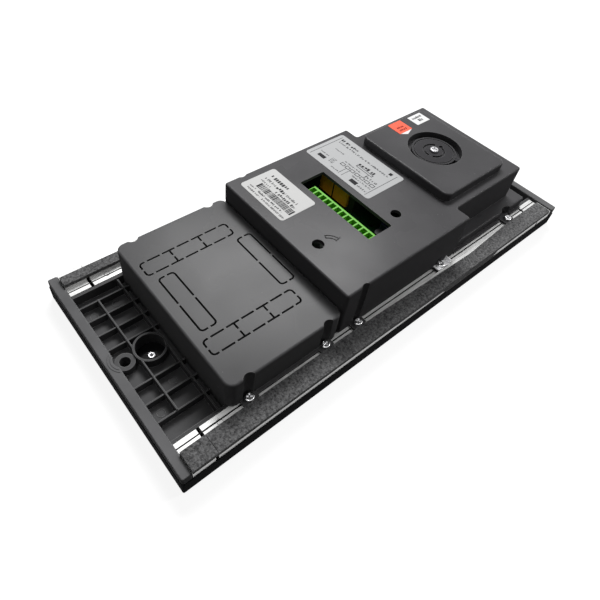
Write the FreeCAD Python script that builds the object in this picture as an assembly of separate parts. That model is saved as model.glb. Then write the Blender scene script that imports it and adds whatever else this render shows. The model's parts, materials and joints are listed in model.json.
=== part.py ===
import FreeCAD, Part
import math
import os

# Rear side of a door intercom panel, lying face down.
# X runs along the panel from the button end to the camera end, Y across it, +Z out of the back.
# The origin is the centre of the front face. Lengths are millimetres.
# Stations along the panel are measured from the button end, and places across it from the centre line.
# ALONG and ACROSS keep the layout in proportion when the panel itself changes size.

# Front shell
PANEL_LENGTH = 275.0
PANEL_WIDTH = 123.0
ALONG = PANEL_LENGTH / 275
ACROSS = PANEL_WIDTH / 123
FRONT_THICKNESS = 3.0
SHELL_WALL = 1.5
SHELL_HEIGHT = 8.0
SHELL_CORNER = 0.8
FRONT_BEVEL = 0.2

# Side rails, measured inwards from the panel's long edge
RAIL_TOP = 13.0
RAIL_LIP_INSET = 0.5
RAIL_WEB = 1.7
RAIL_WALL = 1.2
RAIL_STEP = 10.2
RAIL_INNER = 15.2
FLANGE_DROP = 1.4
FIT_GAP = 0.1
SCREW_LINE = 12.5
SCRIBE_WIDTH = 0.6
END_SCRIBE_WIDTH = 0.3
SCRIBE_DEPTH = 0.35
SEAM_LEFT = 17.0
SEAM_RIGHT = 20.5
SEAM_GAP = 1.6
RAIL_STOP = 1.5
STAKE_STATIONS = (26.0 * ALONG, 65.0 * ALONG)
STAKE_RADIUS = 1.5

# Foam gasket strips on the rails
GASKET_THICKNESS = 2.0
GASKET_INNER = 9.7
GASKET_STOP = 4.6
GASKET_BOW = 2.2
GASKET_BOW_STATIONS = (106.0 * ALONG, 193.0 * ALONG, 232.0 * ALONG)
GASKET_LAP = 0.4
GASKET_LAP_DROP = 0.6
GASKET_SAG_DROP = 1.7
GASKET_SAG_START = 150.0 * ALONG
GASKET_FLAP_START = 161.0 * ALONG
GASKET_FLAP_END = 211.0 * ALONG
GASKET_FLAP_SLOPE = 5.0
GASKET_FAR_OUTER = 3.9
GASKET_FAR_INNER = 9.9

# End caps
CAP_DEPTH = 5.2
CAP_INSET = 0.3
CAP_TIP = 1.0
CAP_EDGE = 0.5

# Tray
TRAY_LIFT = 0.2
TRAY_FLOOR = 2.2
TRAY_GAP = 0.3
TRAY_WALL = 1.5
RIB_THICKNESS = 0.7
RIB_DROP = 1.0
CROSS_RIB_DROP = 0.8
LONG_RIB_STATIONS = (15.2 * ALONG, 28.8 * ALONG)
CROSS_RIBS = [y * ACROSS for y in (-33.9, -24.1, -14.3, 9.4, 19.0, 28.6, 38.2)]
CUP_STATION = 21.8 * ALONG
CUP_RADIUS = 8.0
CUP_WALL = 1.0
FIXING_INSET = 9.0
FIXING_BOSS_RADIUS = 4.65
FIXING_BOSS_HOLE = 2.6
FIXING_HOLE = 2.2
FIXING_BOSS_DROP = 1.0

# Covers
COVER_WALL = 2.0
COVER_CORNER = 3.0
BAY_CORNER = 4.5
COVER_EDGE = 1.0
BAY_COVER_START = 32.0 * ALONG
BAY_COVER_INSET = 13.6
BAY_COVER_TOP = 29.2
COVER_GAP = 0.4
MAIN_COVER_START = 97.0 * ALONG
MAIN_COVER_INSET = 14.3
MAIN_COVER_TOP = 39.7
CAMERA_BOX_START = 188.0 * ALONG
CAMERA_BOX_END = 250.0 * ALONG
CAMERA_BOX_INSET = 23.4
SKIRT_END = 258.0 * ALONG
SKIRT_INSET = 15.7
SKIRT_TOP = 18.3
FOOT_WIDTH = 1.6
FOOT_HEIGHT = 1.4
PAD_START = 185.3 * ALONG
PAD_END = 239.0 * ALONG
PAD_HALF_WIDTH = 32.2 * ACROSS
PAD_RISE = 5.2
PAD_CORNER = 4.0

# Knock-outs in the low cover
SLOT_WIDTH = 1.0
SLOT_BRIDGE = 1.3
KNOCKOUT_CORNER = 1.7
KNOCKOUT_PITCH = 16.5 * ALONG
KNOCKOUT_CELLS = 3
KNOCKOUT_ROW_START = 36.0 * ALONG
KNOCKOUT_ROW_OFFSET = 26.7 * ACROSS
KNOCKOUT_ROW_WIDTH = 8.5
KNOCKOUT_LONG_STATIONS = (38.7 * ALONG, 83.8 * ALONG)
KNOCKOUT_LONG_WIDTH = 8.2
KNOCKOUT_LONG_LENGTH = 36.0 * ACROSS

# Screws that hold the covers, and their lugs
BAY_SCREWS = (42.0 * ALONG, 86.8 * ALONG)
MAIN_SCREWS = (108.7 * ALONG, 173.0 * ALONG)
SKIRT_SCREW = 238.5 * ALONG
LUG_HALF_LENGTH = 4.2
LUG_THICKNESS = 1.2
LUG_TIP = 10.4
SCREW_SHANK = 1.45
SCREW_HEAD = 2.25
SCREW_HEAD_HEIGHT = 1.5
SCREW_LENGTH = 8.0
SCREW_HOLE_PLAY = 0.25
RECESS_RADIUS = 3.2
RECESS_WALL = 1.8
SKIRT_RECESS_RADIUS = 5.5
LOW_RECESS_RADIUS = 2.9
LOW_RECESS_TOP = 18.0
CROSS_SLOT = 0.7
CLIP_THICKNESS = 0.6
CLIP_LENGTH = 10.0
CLIP_WIDTH = 3.7
CLIP_TAB = 3.0

# Openings in the main cover
WINDOW_START = 131.0 * ALONG
WINDOW_END = 148.0 * ALONG
WINDOW_NEAR = -27.1 * ACROSS
WINDOW_FAR = 24.9 * ACROSS
WINDOW_CORNER = 0.8
VOLUME_STATION = 108.1 * ALONG
VOLUME_ACROSS = -14.9 * ACROSS
VOLUME_HOLE = 3.15
TONE_STATION = 156.5 * ALONG
TONE_ACROSS = -22.1 * ACROSS
TONE_HOLE = 2.95

# Labels: stations along the panel and places across it
LABEL_THICKNESS = 0.12
LABEL_CORNER = 1.8
STICKER_CORNER = 0.4
LABEL_LEFT_STATIONS = (103.4 * ALONG, 126.9 * ALONG)
LABEL_LEFT_ACROSS = (7.2 * ACROSS, 42.1 * ACROSS)
LABEL_MIDDLE_STATIONS = (152.0 * ALONG, 182.0 * ALONG)
LABEL_MIDDLE_ACROSS = (-5.8 * ACROSS, 44.5 * ACROSS)
STICKER_RED_STATIONS = (206.0 * ALONG, 216.9 * ALONG)
STICKER_RED_ACROSS = (20.7 * ACROSS, 31.0 * ACROSS)
STICKER_WHITE_STATIONS = (222.8 * ALONG, 234.3 * ALONG)
STICKER_WHITE_ACROSS = (21.2 * ACROSS, 30.0 * ACROSS)

# Camera turret, seated in the round recess of the pad
CAMERA_STATION = 213.3 * ALONG
RECESS_RIM = 16.0
RECESS_RIM_WALL = 2.0
TURRET_GROOVE_DROP = 4.5
TURRET_FLOOR_THICKNESS = 2.2
TURRET_DISC_RADIUS = 13.1
TURRET_DISC_DROP = 1.9
TURRET_DISC_THICKNESS = 2.0
TURRET_NECK = 11.8
TURRET_PLAY = 0.3
TURRET_POINTER_ANGLE = -67.0
TURRET_POINTER_WIDTH = 3.0
TURRET_HUB_GROOVE_OUTER = 6.6
TURRET_HUB_GROOVE_INNER = 5.2
TURRET_RIM_GROOVE_OUTER = 12.1
TURRET_RIM_GROOVE_INNER = 11.5
TURRET_GROOVE_DEPTH = 0.8
TURRET_SCREW_RADIUS = 2.5
TURRET_SCREW_HEIGHT = 1.3
TURRET_SCREW_LENGTH = 8.0
TURRET_CORE_RADIUS = 4.0
TURRET_WALL = 3.0
TURRET_WEB_WIDTH = 2.2
TURRET_WEB_ANGLES = (20, 200)
TURRET_NOTCH_RADIUS = 1.2
TURRET_NECK_LENGTH = 8.5
TURRET_RING_THICKNESS = 1.4
TURRET_RING_REACH = 2.6
FORK_INNER = 9.8
FORK_THICKNESS = 2.0
FORK_HALF_LENGTH = 4.0
FORK_BOTTOM = 12.2

# Camera in the fork
TILT_HEIGHT = 16.0
TRUNNION_RADIUS = 2.0
TRUNNION_PLAY = 0.05
CAMERA_RADIUS = 8.0
CAMERA_BOTTOM = 7.6
CAMERA_TOP = 22.0
LENS_RADIUS = 5.2
LENS_BOTTOM = 5.9
LENS_LENGTH = 6.0
LENS_FIT = 0.02
CAMERA_BOARD_SIZE = 15.0
BOARD_THICKNESS = 1.6

# Camera window and lamps
CAMERA_WINDOW_LENGTH = 40.0
CAMERA_WINDOW_WIDTH = 62.0 * ACROSS
CAMERA_WINDOW_CORNER = 5.0
CAMERA_WINDOW_RECESS = 0.4
CAMERA_WINDOW_FLANGE = 1.5
CAMERA_WINDOW_FLANGE_THICKNESS = 1.0
LED_BOARD_MARGIN = 8.5
LED_BOARD_BOTTOM = 7.4
LED_BOARD_HOLE = 13.0
LED_RADIUS = 2.5
LED_SPACING_ALONG = 15.0
LED_SPACING_ACROSS = 25.0
LED_BOTTOM = 4.6
LED_POST_INSET = 3.2

# Boards, posts and their screws
POST_RADIUS = 2.4
BOARD_SCREW_SHANK = 1.1
BOARD_SCREW_HEAD = 2.2
BOARD_SCREW_HEAD_HEIGHT = 1.4
BOARD_SCREW_LENGTH = 5.0
MAIN_BOARD_START = 101.0 * ALONG
MAIN_BOARD_END = 184.0 * ALONG
MAIN_BOARD_MARGIN = 1.2
MAIN_BOARD_DROP = 17.3
MAIN_POST_INSET = 3.6

# Terminal block
TERMINAL_WAYS = 12
TERMINAL_PITCH = 3.81
TERMINAL_START = 128.6 * ALONG
TERMINAL_WIDTH = 9.6
TERMINAL_DROP = 2.5
TERMINAL_NEAR = -25.6 * ACROSS
TERMINAL_DIVIDER = 0.9
TERMINAL_CELL_DEPTH = 3.6
TERMINAL_RIDGE = 1.2
TERMINAL_SCREW_RADIUS = 1.1
TERMINAL_SCREW_INSET = 2.6
TERMINAL_SLOT = 0.4
TERMINAL_SCREW_HEIGHT = 0.9

# Transformer
COIL_START = 150.0 * ALONG
COIL_LENGTH = 15.5
COIL_NEAR = 6.0 * ACROSS
COIL_WIDTH = 22.0
COIL_DROP = 2.5
COIL_LIFT = 2.0
CORE_REACH = 4.0
CORE_SIDE = 2.0
CORE_DROP = 1.2

# Trimmers
TRIMMER_SIZE = 9.0
TRIMMER_HEIGHT = 8.0
ROTOR_RADIUS = 2.4
ROTOR_PLAY = 0.1
ROTOR_DEPTH = 5.0
ROTOR_RISE = 3.6
ROTOR_SLOT = 0.7
ROTOR_SLOT_DEPTH = 1.2

# Speaker
SPEAKER_STATION = 150.0 * ALONG
SPEAKER_RADIUS = 26.0
SPEAKER_SEAT = 2.5
SPEAKER_RIM = 1.0
BASKET_BOTTOM_RADIUS = 12.5
BASKET_HEIGHT = 7.6
BASKET_HOLE = 4.5
BASKET_SHEET = 0.8
MAGNET_RADIUS = 12.0
MAGNET_HEIGHT = 5.0
CONE_SHEET = 0.5
CONE_DEPTH = 4.8
CONE_NECK = 7.0
SPEAKER_RING_WALL = 1.4
GRILLE_SLOTS = 7
GRILLE_PITCH = 4.6
GRILLE_SLOT_WIDTH = 1.8
GRILLE_RADIUS = 18.5

# Microphone
MICROPHONE_STATION = 112.0 * ALONG
MICROPHONE_RADIUS = 3.0
MICROPHONE_HEIGHT = 3.6
BOOT_RADIUS = 5.0
BOOT_HEIGHT = 6.4
BOOT_FRONT = 1.2
SOUND_HOLE = 0.9

# Call buttons and name windows
BUTTON_COUNT = 3
BUTTON_PITCH = 16.5 * ALONG
BUTTON_FIRST = 48.0 * ALONG
BUTTON_LENGTH = 10.6
BUTTON_WIDTH = 26.0 * ACROSS
BUTTON_ACROSS = -24.0 * ACROSS
BUTTON_CORNER = 1.5
BUTTON_RECESS = 0.35
BUTTON_PLAY = 0.25
BUTTON_FLANGE = 1.2
BUTTON_FLANGE_THICKNESS = 1.2
BUTTON_FLANGE_GAP = 0.15
BUTTON_STEM = 2.2
BUTTON_STEM_HEIGHT = 1.0
BUTTON_TRAVEL = 1.0
PLUNGER_RADIUS = 1.6
PLUNGER_PLAY = 0.08
SWITCH_SIZE = 6.0
SWITCH_HEIGHT = 2.0
NAME_WIDTH = 41.0 * ACROSS
NAME_ACROSS = 16.5 * ACROSS
NAME_RECESS = 0.4
NAME_FLANGE = 1.2
NAME_FLANGE_THICKNESS = 0.8
CARD_THICKNESS = 0.3
CARD_MARGIN = 0.5
CUTOUT_CLEARANCE = 0.6
BUTTON_BOARD_START = 35.0 * ALONG
BUTTON_BOARD_END = 94.0 * ALONG
BUTTON_BOARD_MARGIN = 1.7
BUTTON_BOARD_BOTTOM = 9.2
BUTTON_POST_INSET = 2.7

# Socket screw at the bottom of the cup
SOCKET_SCREW_RADIUS = 1.6
SOCKET_SCREW_RISE = 0.2
SOCKET_ACROSS_FLATS = 1.5
SOCKET_DEPTH = 1.6
SOCKET_SKIN = 0.8

HALF_LENGTH = PANEL_LENGTH / 2
HALF_WIDTH = PANEL_WIDTH / 2
FLANGE_TOP = RAIL_TOP - FLANGE_DROP
RAIL_START = SEAM_LEFT + SEAM_GAP / 2
RAIL_END = PANEL_LENGTH - SEAM_RIGHT - SEAM_GAP / 2
END_START = CAP_DEPTH + FIT_GAP
END_STOP = PANEL_LENGTH - CAP_DEPTH - RAIL_STOP
GASKET_END = PANEL_LENGTH - CAP_DEPTH - GASKET_STOP
GASKET_TOP = RAIL_TOP + GASKET_THICKNESS
GASKET_LAP_FACE = RAIL_LIP_INSET - HALF_WIDTH - GASKET_LAP
TRAY_BOTTOM = FRONT_THICKNESS + TRAY_LIFT
TRAY_FLOOR_TOP = TRAY_BOTTOM + TRAY_FLOOR
TRAY_HALF_WIDTH = HALF_WIDTH - RAIL_INNER - TRAY_GAP
TRAY_WALL_TOP = FLANGE_TOP - TRAY_GAP
RIB_TOP = FLANGE_TOP - RIB_DROP
LUG_TOP = FLANGE_TOP + LUG_THICKNESS
SCREW_ACROSS = HALF_WIDTH - SCREW_LINE
BAY_COVER_END = MAIN_COVER_START - COVER_GAP
BOARD_SCREW_REACH = BOARD_SCREW_LENGTH - BOARD_THICKNESS
RECESS_INNER = SCREW_ACROSS - RECESS_RADIUS - RECESS_WALL
MAIN_BOARD_HALF_WIDTH = RECESS_INNER - MAIN_BOARD_MARGIN
BUTTON_BOARD_HALF_WIDTH = RECESS_INNER - BUTTON_BOARD_MARGIN
LED_BOARD_HALF_LENGTH = CAMERA_WINDOW_LENGTH / 2 + LED_BOARD_MARGIN
LED_BOARD_HALF_WIDTH = CAMERA_WINDOW_WIDTH / 2 + LED_BOARD_MARGIN
MAIN_BOARD_BOTTOM = MAIN_COVER_TOP - MAIN_BOARD_DROP
MAIN_BOARD_TOP = MAIN_BOARD_BOTTOM + BOARD_THICKNESS
TERMINAL_TOP = MAIN_COVER_TOP - TERMINAL_DROP
COIL_TOP = MAIN_COVER_TOP - COIL_DROP
SPEAKER_APERTURE = SPEAKER_RADIUS - SPEAKER_SEAT
PAD_TOP = MAIN_COVER_TOP + PAD_RISE
TURRET_GROOVE_FLOOR = PAD_TOP - TURRET_GROOVE_DROP
TURRET_DISC_TOP = PAD_TOP - TURRET_DISC_DROP
TURRET_DISC_BOTTOM = TURRET_DISC_TOP - TURRET_DISC_THICKNESS
TURRET_BRIDGE_BOTTOM = TURRET_DISC_BOTTOM - TURRET_NECK_LENGTH
LED_BOARD_TOP = LED_BOARD_BOTTOM + BOARD_THICKNESS
BUTTON_STATIONS = [BUTTON_FIRST + i * BUTTON_PITCH for i in range(BUTTON_COUNT)]
FIXING_STATIONS = (FIXING_INSET, PANEL_LENGTH - FIXING_INSET)
ALL_SCREWS = BAY_SCREWS + MAIN_SCREWS + (SKIRT_SCREW,)
SOCKET_SCREW_TOP = FRONT_THICKNESS + SOCKET_SCREW_RISE


def box(s0, s1, y0, y1, z0, z1):
    """A block between two stations, across and up."""
    return Part.makeBox(s1 - s0, y1 - y0, z1 - z0, FreeCAD.Vector(s0 - HALF_LENGTH, y0, z0))


def rod(station, across, z0, z1, radius):
    """An upright cylinder."""
    return Part.makeCylinder(radius, z1 - z0, FreeCAD.Vector(station - HALF_LENGTH, across, z0))


def cross_rod(station, y0, y1, height, radius):
    """A cylinder that lies across the panel."""
    base = FreeCAD.Vector(station - HALF_LENGTH, y0, height)
    return Part.makeCylinder(radius, y1 - y0, base, FreeCAD.Vector(0, 1, 0))


def tube(station, across, z0, z1, outer, inner):
    """An upright tube."""
    return rod(station, across, z0, z1, outer).cut(rod(station, across, z0, z1, inner))


def slab(s0, s1, y0, y1, z0, z1, radius):
    """A block with rounded upright edges."""
    block = box(s0, s1, y0, y1, z0, z1)
    upright = [e for e in block.Edges if abs(e.Vertexes[0].Z - e.Vertexes[1].Z) > (z1 - z0) / 2]
    return block.makeFillet(radius, upright)


def edges_at(shape, height):
    """The edges that lie wholly at one height."""
    return [e for e in shape.Edges if all(abs(v.Z - height) < 1e-6 for v in e.Vertexes)]


def prism(points, start, end):
    """An outline in Y and Z, drawn along the panel between two stations."""
    corners = [FreeCAD.Vector(start - HALF_LENGTH, y, z) for y, z in points]
    face = Part.Face(Part.makePolygon(corners + corners[:1]))
    return face.extrude(FreeCAD.Vector(end - start, 0, 0))


def plate_of(plan, z0, z1):
    """A plate with an outline of stations and places across."""
    corners = [FreeCAD.Vector(s - HALF_LENGTH, y, z0) for s, y in plan]
    face = Part.Face(Part.makePolygon(corners + corners[:1]))
    return face.extrude(FreeCAD.Vector(0, 0, z1 - z0))


def mirrored(shape):
    """The same shape on the other long side."""
    return shape.mirror(FreeCAD.Vector(0, 0, 0), FreeCAD.Vector(0, 1, 0))


def turned(shape, station, across, angle):
    """The shape turned about an upright axis."""
    copy = shape.copy()
    copy.rotate(FreeCAD.Vector(station - HALF_LENGTH, across, 0), FreeCAD.Vector(0, 0, 1), angle)
    return copy


def cross_slot(station, across, top, reach, depth):
    """The cutter for a cross recess in a screw head."""
    along = box(station - reach, station + reach, across - CROSS_SLOT / 2, across + CROSS_SLOT / 2,
                top - depth, top)
    return along.fuse(turned(along, station, across, 90))


def pan_screw(station, across, seat, shank, head, head_height, length, slot_angle=20):
    """A pan-head screw with its seat at the given height."""
    body = rod(station, across, seat, seat + head_height, head)
    body = body.makeFillet(head_height * 0.4, edges_at(body, seat + head_height)[:1])
    body = body.fuse(rod(station, across, seat - length, seat, shank))
    slot = cross_slot(station, across, seat + head_height, head * 0.62, head_height * 0.5)
    return body.cut(turned(slot, station, across, slot_angle))


def button_outline(station, across, width, grow, z0, z1):
    """A rounded plate about a call button's or a name window's centre."""
    half_length = BUTTON_LENGTH / 2 + grow
    half_width = width / 2 + grow
    return slab(station - half_length, station + half_length, across - half_width, across + half_width,
                z0, z1, BUTTON_CORNER)


def front_plate():
    shell = slab(0, PANEL_LENGTH, -HALF_WIDTH, HALF_WIDTH, 0, SHELL_HEIGHT, SHELL_CORNER)
    shell = shell.makeChamfer(FRONT_BEVEL, edges_at(shell, 0))
    hollow = box(SHELL_WALL, PANEL_LENGTH - SHELL_WALL, -HALF_WIDTH + SHELL_WALL, HALF_WIDTH - SHELL_WALL,
                 FRONT_THICKNESS, SHELL_HEIGHT)
    shell = shell.cut(hollow)
    cuts = [rod(CUP_STATION, 0, SOCKET_SKIN, FRONT_THICKNESS, SOCKET_SCREW_RADIUS)]
    cuts += [rod(s, 0, 0, FRONT_THICKNESS, FIXING_HOLE) for s in FIXING_STATIONS]
    cuts.append(rod(MICROPHONE_STATION, 0, 0, FRONT_THICKNESS, SOUND_HOLE))
    for station in BUTTON_STATIONS:
        cuts.append(button_outline(station, BUTTON_ACROSS, BUTTON_WIDTH, BUTTON_PLAY, 0, FRONT_THICKNESS))
        cuts.append(button_outline(station, NAME_ACROSS, NAME_WIDTH, FIT_GAP, 0, FRONT_THICKNESS))
    cuts.append(camera_window_outline(FIT_GAP, 0, FRONT_THICKNESS))
    middle = (GRILLE_SLOTS - 1) / 2
    for i in range(GRILLE_SLOTS):
        offset = (i - middle) * GRILLE_PITCH
        reach = math.sqrt(GRILLE_RADIUS ** 2 - offset ** 2)
        station = SPEAKER_STATION + offset
        cuts.append(slab(station - GRILLE_SLOT_WIDTH / 2, station + GRILLE_SLOT_WIDTH / 2, -reach, reach,
                         0, FRONT_THICKNESS, GRILLE_SLOT_WIDTH * 0.45))
    return shell.cut(cuts)


def rail_profile(inner):
    """The near rail's section: lip, wall, web, step, flange and inner leg."""
    edge = -HALF_WIDTH
    lip = edge + RAIL_LIP_INSET
    wall = edge + SHELL_WALL + FIT_GAP
    lip_bottom = SHELL_HEIGHT + FIT_GAP
    under_web = RAIL_TOP - RAIL_WEB
    under_flange = FLANGE_TOP - RAIL_WEB
    step = edge + RAIL_STEP
    return [
        (lip, lip_bottom), (wall, lip_bottom), (wall, FRONT_THICKNESS),
        (wall + RAIL_WALL, FRONT_THICKNESS), (wall + RAIL_WALL, under_web),
        (step - RAIL_WALL, under_web), (step - RAIL_WALL, under_flange),
        (edge + inner - RAIL_WALL, under_flange), (edge + inner - RAIL_WALL, FRONT_THICKNESS),
        (edge + inner, FRONT_THICKNESS), (edge + inner, FLANGE_TOP),
        (step, FLANGE_TOP), (step, RAIL_TOP), (lip, RAIL_TOP),
    ]


def scribed_rail(start, end, width):
    """A length of near rail with the marking line along its flange."""
    line = -HALF_WIDTH + SCREW_LINE
    half = width / 2
    scribe = [(line - half, FLANGE_TOP), (line, FLANGE_TOP - SCRIBE_DEPTH), (line + half, FLANGE_TOP)]
    return prism(rail_profile(RAIL_INNER), start, end).cut(prism(scribe, start, end))


def rail_near():
    rail = scribed_rail(RAIL_START, RAIL_END, SCRIBE_WIDTH)
    line = -HALF_WIDTH + SCREW_LINE
    cuts = [rod(s, line, FLANGE_TOP - RAIL_WEB, FLANGE_TOP, SCREW_SHANK) for s in ALL_SCREWS]
    stake_line = -HALF_WIDTH + RAIL_STEP + STAKE_RADIUS
    cuts += [tube(s, stake_line, FLANGE_TOP - SCRIBE_DEPTH, FLANGE_TOP, STAKE_RADIUS, STAKE_RADIUS * 0.8)
             for s in STAKE_STATIONS]
    return rail.cut(cuts)


def gasket_near():
    """Foam tape along the near rail, bowed outwards, its outer edge lapped over the rail's edge."""
    inner = GASKET_INNER - HALF_WIDTH
    bow_start, bow_peak, bow_end = GASKET_BOW_STATIONS
    plan = [
        (END_START, GASKET_LAP_FACE), (GASKET_END, GASKET_LAP_FACE), (GASKET_END, inner),
        (bow_end, inner), (bow_peak, inner - GASKET_BOW), (bow_start, inner), (END_START, inner),
    ]
    return plate_of(plan, RAIL_TOP, GASKET_TOP).fuse(gasket_lap()).removeSplitter()


def gasket_lap():
    """The skin of tape that hangs over the rail's outer edge, down to the shell along one stretch."""
    lap = RAIL_TOP - GASKET_LAP_DROP
    sag = RAIL_TOP - GASKET_SAG_DROP
    low = SHELL_HEIGHT + FIT_GAP
    sides = [
        (END_START, GASKET_TOP), (END_START, lap), (GASKET_BOW_STATIONS[0], lap), (GASKET_SAG_START, sag),
        (GASKET_FLAP_START, sag), (GASKET_FLAP_START + GASKET_FLAP_SLOPE, low),
        (GASKET_FLAP_END - GASKET_FLAP_SLOPE, low), (GASKET_FLAP_END, lap), (GASKET_END, lap),
        (GASKET_END, GASKET_TOP),
    ]
    corners = [FreeCAD.Vector(s - HALF_LENGTH, GASKET_LAP_FACE, z) for s, z in sides]
    face = Part.Face(Part.makePolygon(corners + corners[:1]))
    return face.extrude(FreeCAD.Vector(0, GASKET_LAP, 0))


def gasket_far():
    return box(END_START, GASKET_END, HALF_WIDTH - GASKET_FAR_INNER, HALF_WIDTH - GASKET_FAR_OUTER,
               RAIL_TOP, GASKET_TOP)


def end_cap_left():
    across = HALF_WIDTH - RAIL_LIP_INSET + CAP_INSET / 2
    lower = HALF_WIDTH - SHELL_WALL - FIT_GAP
    top = slab(CAP_INSET, CAP_DEPTH, -across, across, SHELL_HEIGHT + FIT_GAP, RAIL_TOP, CAP_TIP)
    top = top.makeFillet(CAP_EDGE, edges_at(top, RAIL_TOP))
    foot = box(SHELL_WALL + FIT_GAP, CAP_DEPTH, -lower, lower, FRONT_THICKNESS, SHELL_HEIGHT + FIT_GAP)
    notch = rod(FIXING_INSET, 0, FRONT_THICKNESS, RAIL_TOP, FIXING_BOSS_RADIUS + TRAY_GAP)
    return top.fuse(foot).cut(notch)


def end_cap_right():
    return end_cap_left().mirror(FreeCAD.Vector(0, 0, 0), FreeCAD.Vector(1, 0, 0))


def corner_places(start, end, half_width, inset):
    return [(s, y) for s in (start + inset, end - inset) for y in (inset - half_width, half_width - inset)]


def button_post_places():
    return corner_places(BUTTON_BOARD_START, BUTTON_BOARD_END, BUTTON_BOARD_HALF_WIDTH, BUTTON_POST_INSET)


def main_post_places():
    return corner_places(MAIN_BOARD_START, MAIN_BOARD_END, MAIN_BOARD_HALF_WIDTH, MAIN_POST_INSET)


def led_post_places():
    return corner_places(CAMERA_STATION - LED_BOARD_HALF_LENGTH, CAMERA_STATION + LED_BOARD_HALF_LENGTH,
                         LED_BOARD_HALF_WIDTH, LED_POST_INSET)


def tray_posts():
    """The place and height of every post on the tray."""
    levels = [(button_post_places(), BUTTON_BOARD_BOTTOM), (led_post_places(), LED_BOARD_BOTTOM)]
    return [(s, y, bottom) for places, bottom in levels for s, y in places]


def button_cutout(across, width, grow, z0, z1):
    """The tray opening round one column of buttons or name windows."""
    half_length = BUTTON_LENGTH / 2 + grow
    half_width = width / 2 + grow
    return box(BUTTON_STATIONS[0] - half_length, BUTTON_STATIONS[-1] + half_length,
               across - half_width, across + half_width, z0, z1)


def camera_window_outline(grow, z0, z1):
    half_length = CAMERA_WINDOW_LENGTH / 2 + grow
    half_width = CAMERA_WINDOW_WIDTH / 2 + grow
    return slab(CAMERA_STATION - half_length, CAMERA_STATION + half_length, -half_width, half_width,
                z0, z1, CAMERA_WINDOW_CORNER)


def rear_tray():
    start = CAP_DEPTH + TRAY_GAP
    end = PANEL_LENGTH - CAP_DEPTH - TRAY_GAP
    wall_inner = TRAY_HALF_WIDTH - TRAY_WALL
    tray = box(start, end, -TRAY_HALF_WIDTH, TRAY_HALF_WIDTH, TRAY_BOTTOM, TRAY_FLOOR_TOP)
    walls = [box(start, end, -TRAY_HALF_WIDTH, -wall_inner, TRAY_FLOOR_TOP, TRAY_WALL_TOP),
             box(start, end, wall_inner, TRAY_HALF_WIDTH, TRAY_FLOOR_TOP, TRAY_WALL_TOP)]
    half_rib = RIB_THICKNESS / 2
    short_rib, full_rib = LONG_RIB_STATIONS
    ribs = [box(short_rib - half_rib, short_rib + half_rib, CROSS_RIBS[0], CROSS_RIBS[-1],
                TRAY_FLOOR_TOP, RIB_TOP),
            box(full_rib - half_rib, full_rib + half_rib, -wall_inner, wall_inner, TRAY_FLOOR_TOP, RIB_TOP)]
    rib_spans = ((start, BAY_COVER_START - TRAY_GAP), (SKIRT_END + TRAY_GAP, end))
    cross_top = RIB_TOP - CROSS_RIB_DROP
    for s0, s1 in rib_spans:
        ribs += [box(s0, s1, y - half_rib, y + half_rib, TRAY_FLOOR_TOP, cross_top) for y in CROSS_RIBS]
    boss_top = RIB_TOP - FIXING_BOSS_DROP
    bosses = [rod(s, 0, TRAY_BOTTOM, boss_top, FIXING_BOSS_RADIUS) for s in FIXING_STATIONS]
    bosses.append(rod(CUP_STATION, 0, TRAY_BOTTOM, RIB_TOP, CUP_RADIUS))
    posts = [rod(s, y, TRAY_BOTTOM, bottom, POST_RADIUS) for s, y, bottom in tray_posts()]
    speaker_inner = SPEAKER_RADIUS + TRAY_GAP
    ring_top = TRAY_FLOOR_TOP + 2 * SPEAKER_RIM
    speaker_ring = tube(SPEAKER_STATION, 0, TRAY_FLOOR_TOP, ring_top,
                        speaker_inner + SPEAKER_RING_WALL, speaker_inner)
    tray = tray.fuse(walls + ribs + bosses + posts + [speaker_ring])
    cuts = [rod(s, 0, TRAY_BOTTOM, boss_top, FIXING_BOSS_HOLE) for s in FIXING_STATIONS]
    cuts.append(rod(CUP_STATION, 0, TRAY_BOTTOM, RIB_TOP, CUP_RADIUS - CUP_WALL))
    cuts += [rod(s, y, top - BOARD_SCREW_REACH, top, BOARD_SCREW_SHANK) for s, y, top in tray_posts()]
    cuts.append(rod(SPEAKER_STATION, 0, TRAY_BOTTOM, TRAY_FLOOR_TOP, SPEAKER_APERTURE))
    cuts.append(rod(MICROPHONE_STATION, 0, TRAY_BOTTOM, TRAY_FLOOR_TOP, BOOT_RADIUS))
    button_grow = BUTTON_FLANGE + CUTOUT_CLEARANCE
    name_grow = NAME_FLANGE + CUTOUT_CLEARANCE
    cuts.append(button_cutout(BUTTON_ACROSS, BUTTON_WIDTH, button_grow, TRAY_BOTTOM, TRAY_FLOOR_TOP))
    cuts.append(button_cutout(NAME_ACROSS, NAME_WIDTH, name_grow, TRAY_BOTTOM, TRAY_FLOOR_TOP))
    window_grow = CAMERA_WINDOW_FLANGE + CUTOUT_CLEARANCE
    cuts.append(camera_window_outline(window_grow, TRAY_BOTTOM, TRAY_FLOOR_TOP))
    return tray.cut(cuts)


def recess_rods(stations, radius, z0, z1):
    return [rod(s, y, z0, z1, radius) for s in stations for y in (-SCREW_ACROSS, SCREW_ACROSS)]


def lugs(stations, inner):
    """Screw lugs that lie on the rail flanges, with their holes."""
    tabs = []
    holes = []
    for s in stations:
        for side in (-1, 1):
            near, far = sorted((side * (HALF_WIDTH - LUG_TIP), side * inner))
            tabs.append(slab(s - LUG_HALF_LENGTH, s + LUG_HALF_LENGTH, near, far, FLANGE_TOP, LUG_TOP, 1.0))
            holes.append(rod(s, side * SCREW_ACROSS, FLANGE_TOP, LUG_TOP, SCREW_SHANK + SCREW_HOLE_PLAY))
    return tabs, holes


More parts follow.
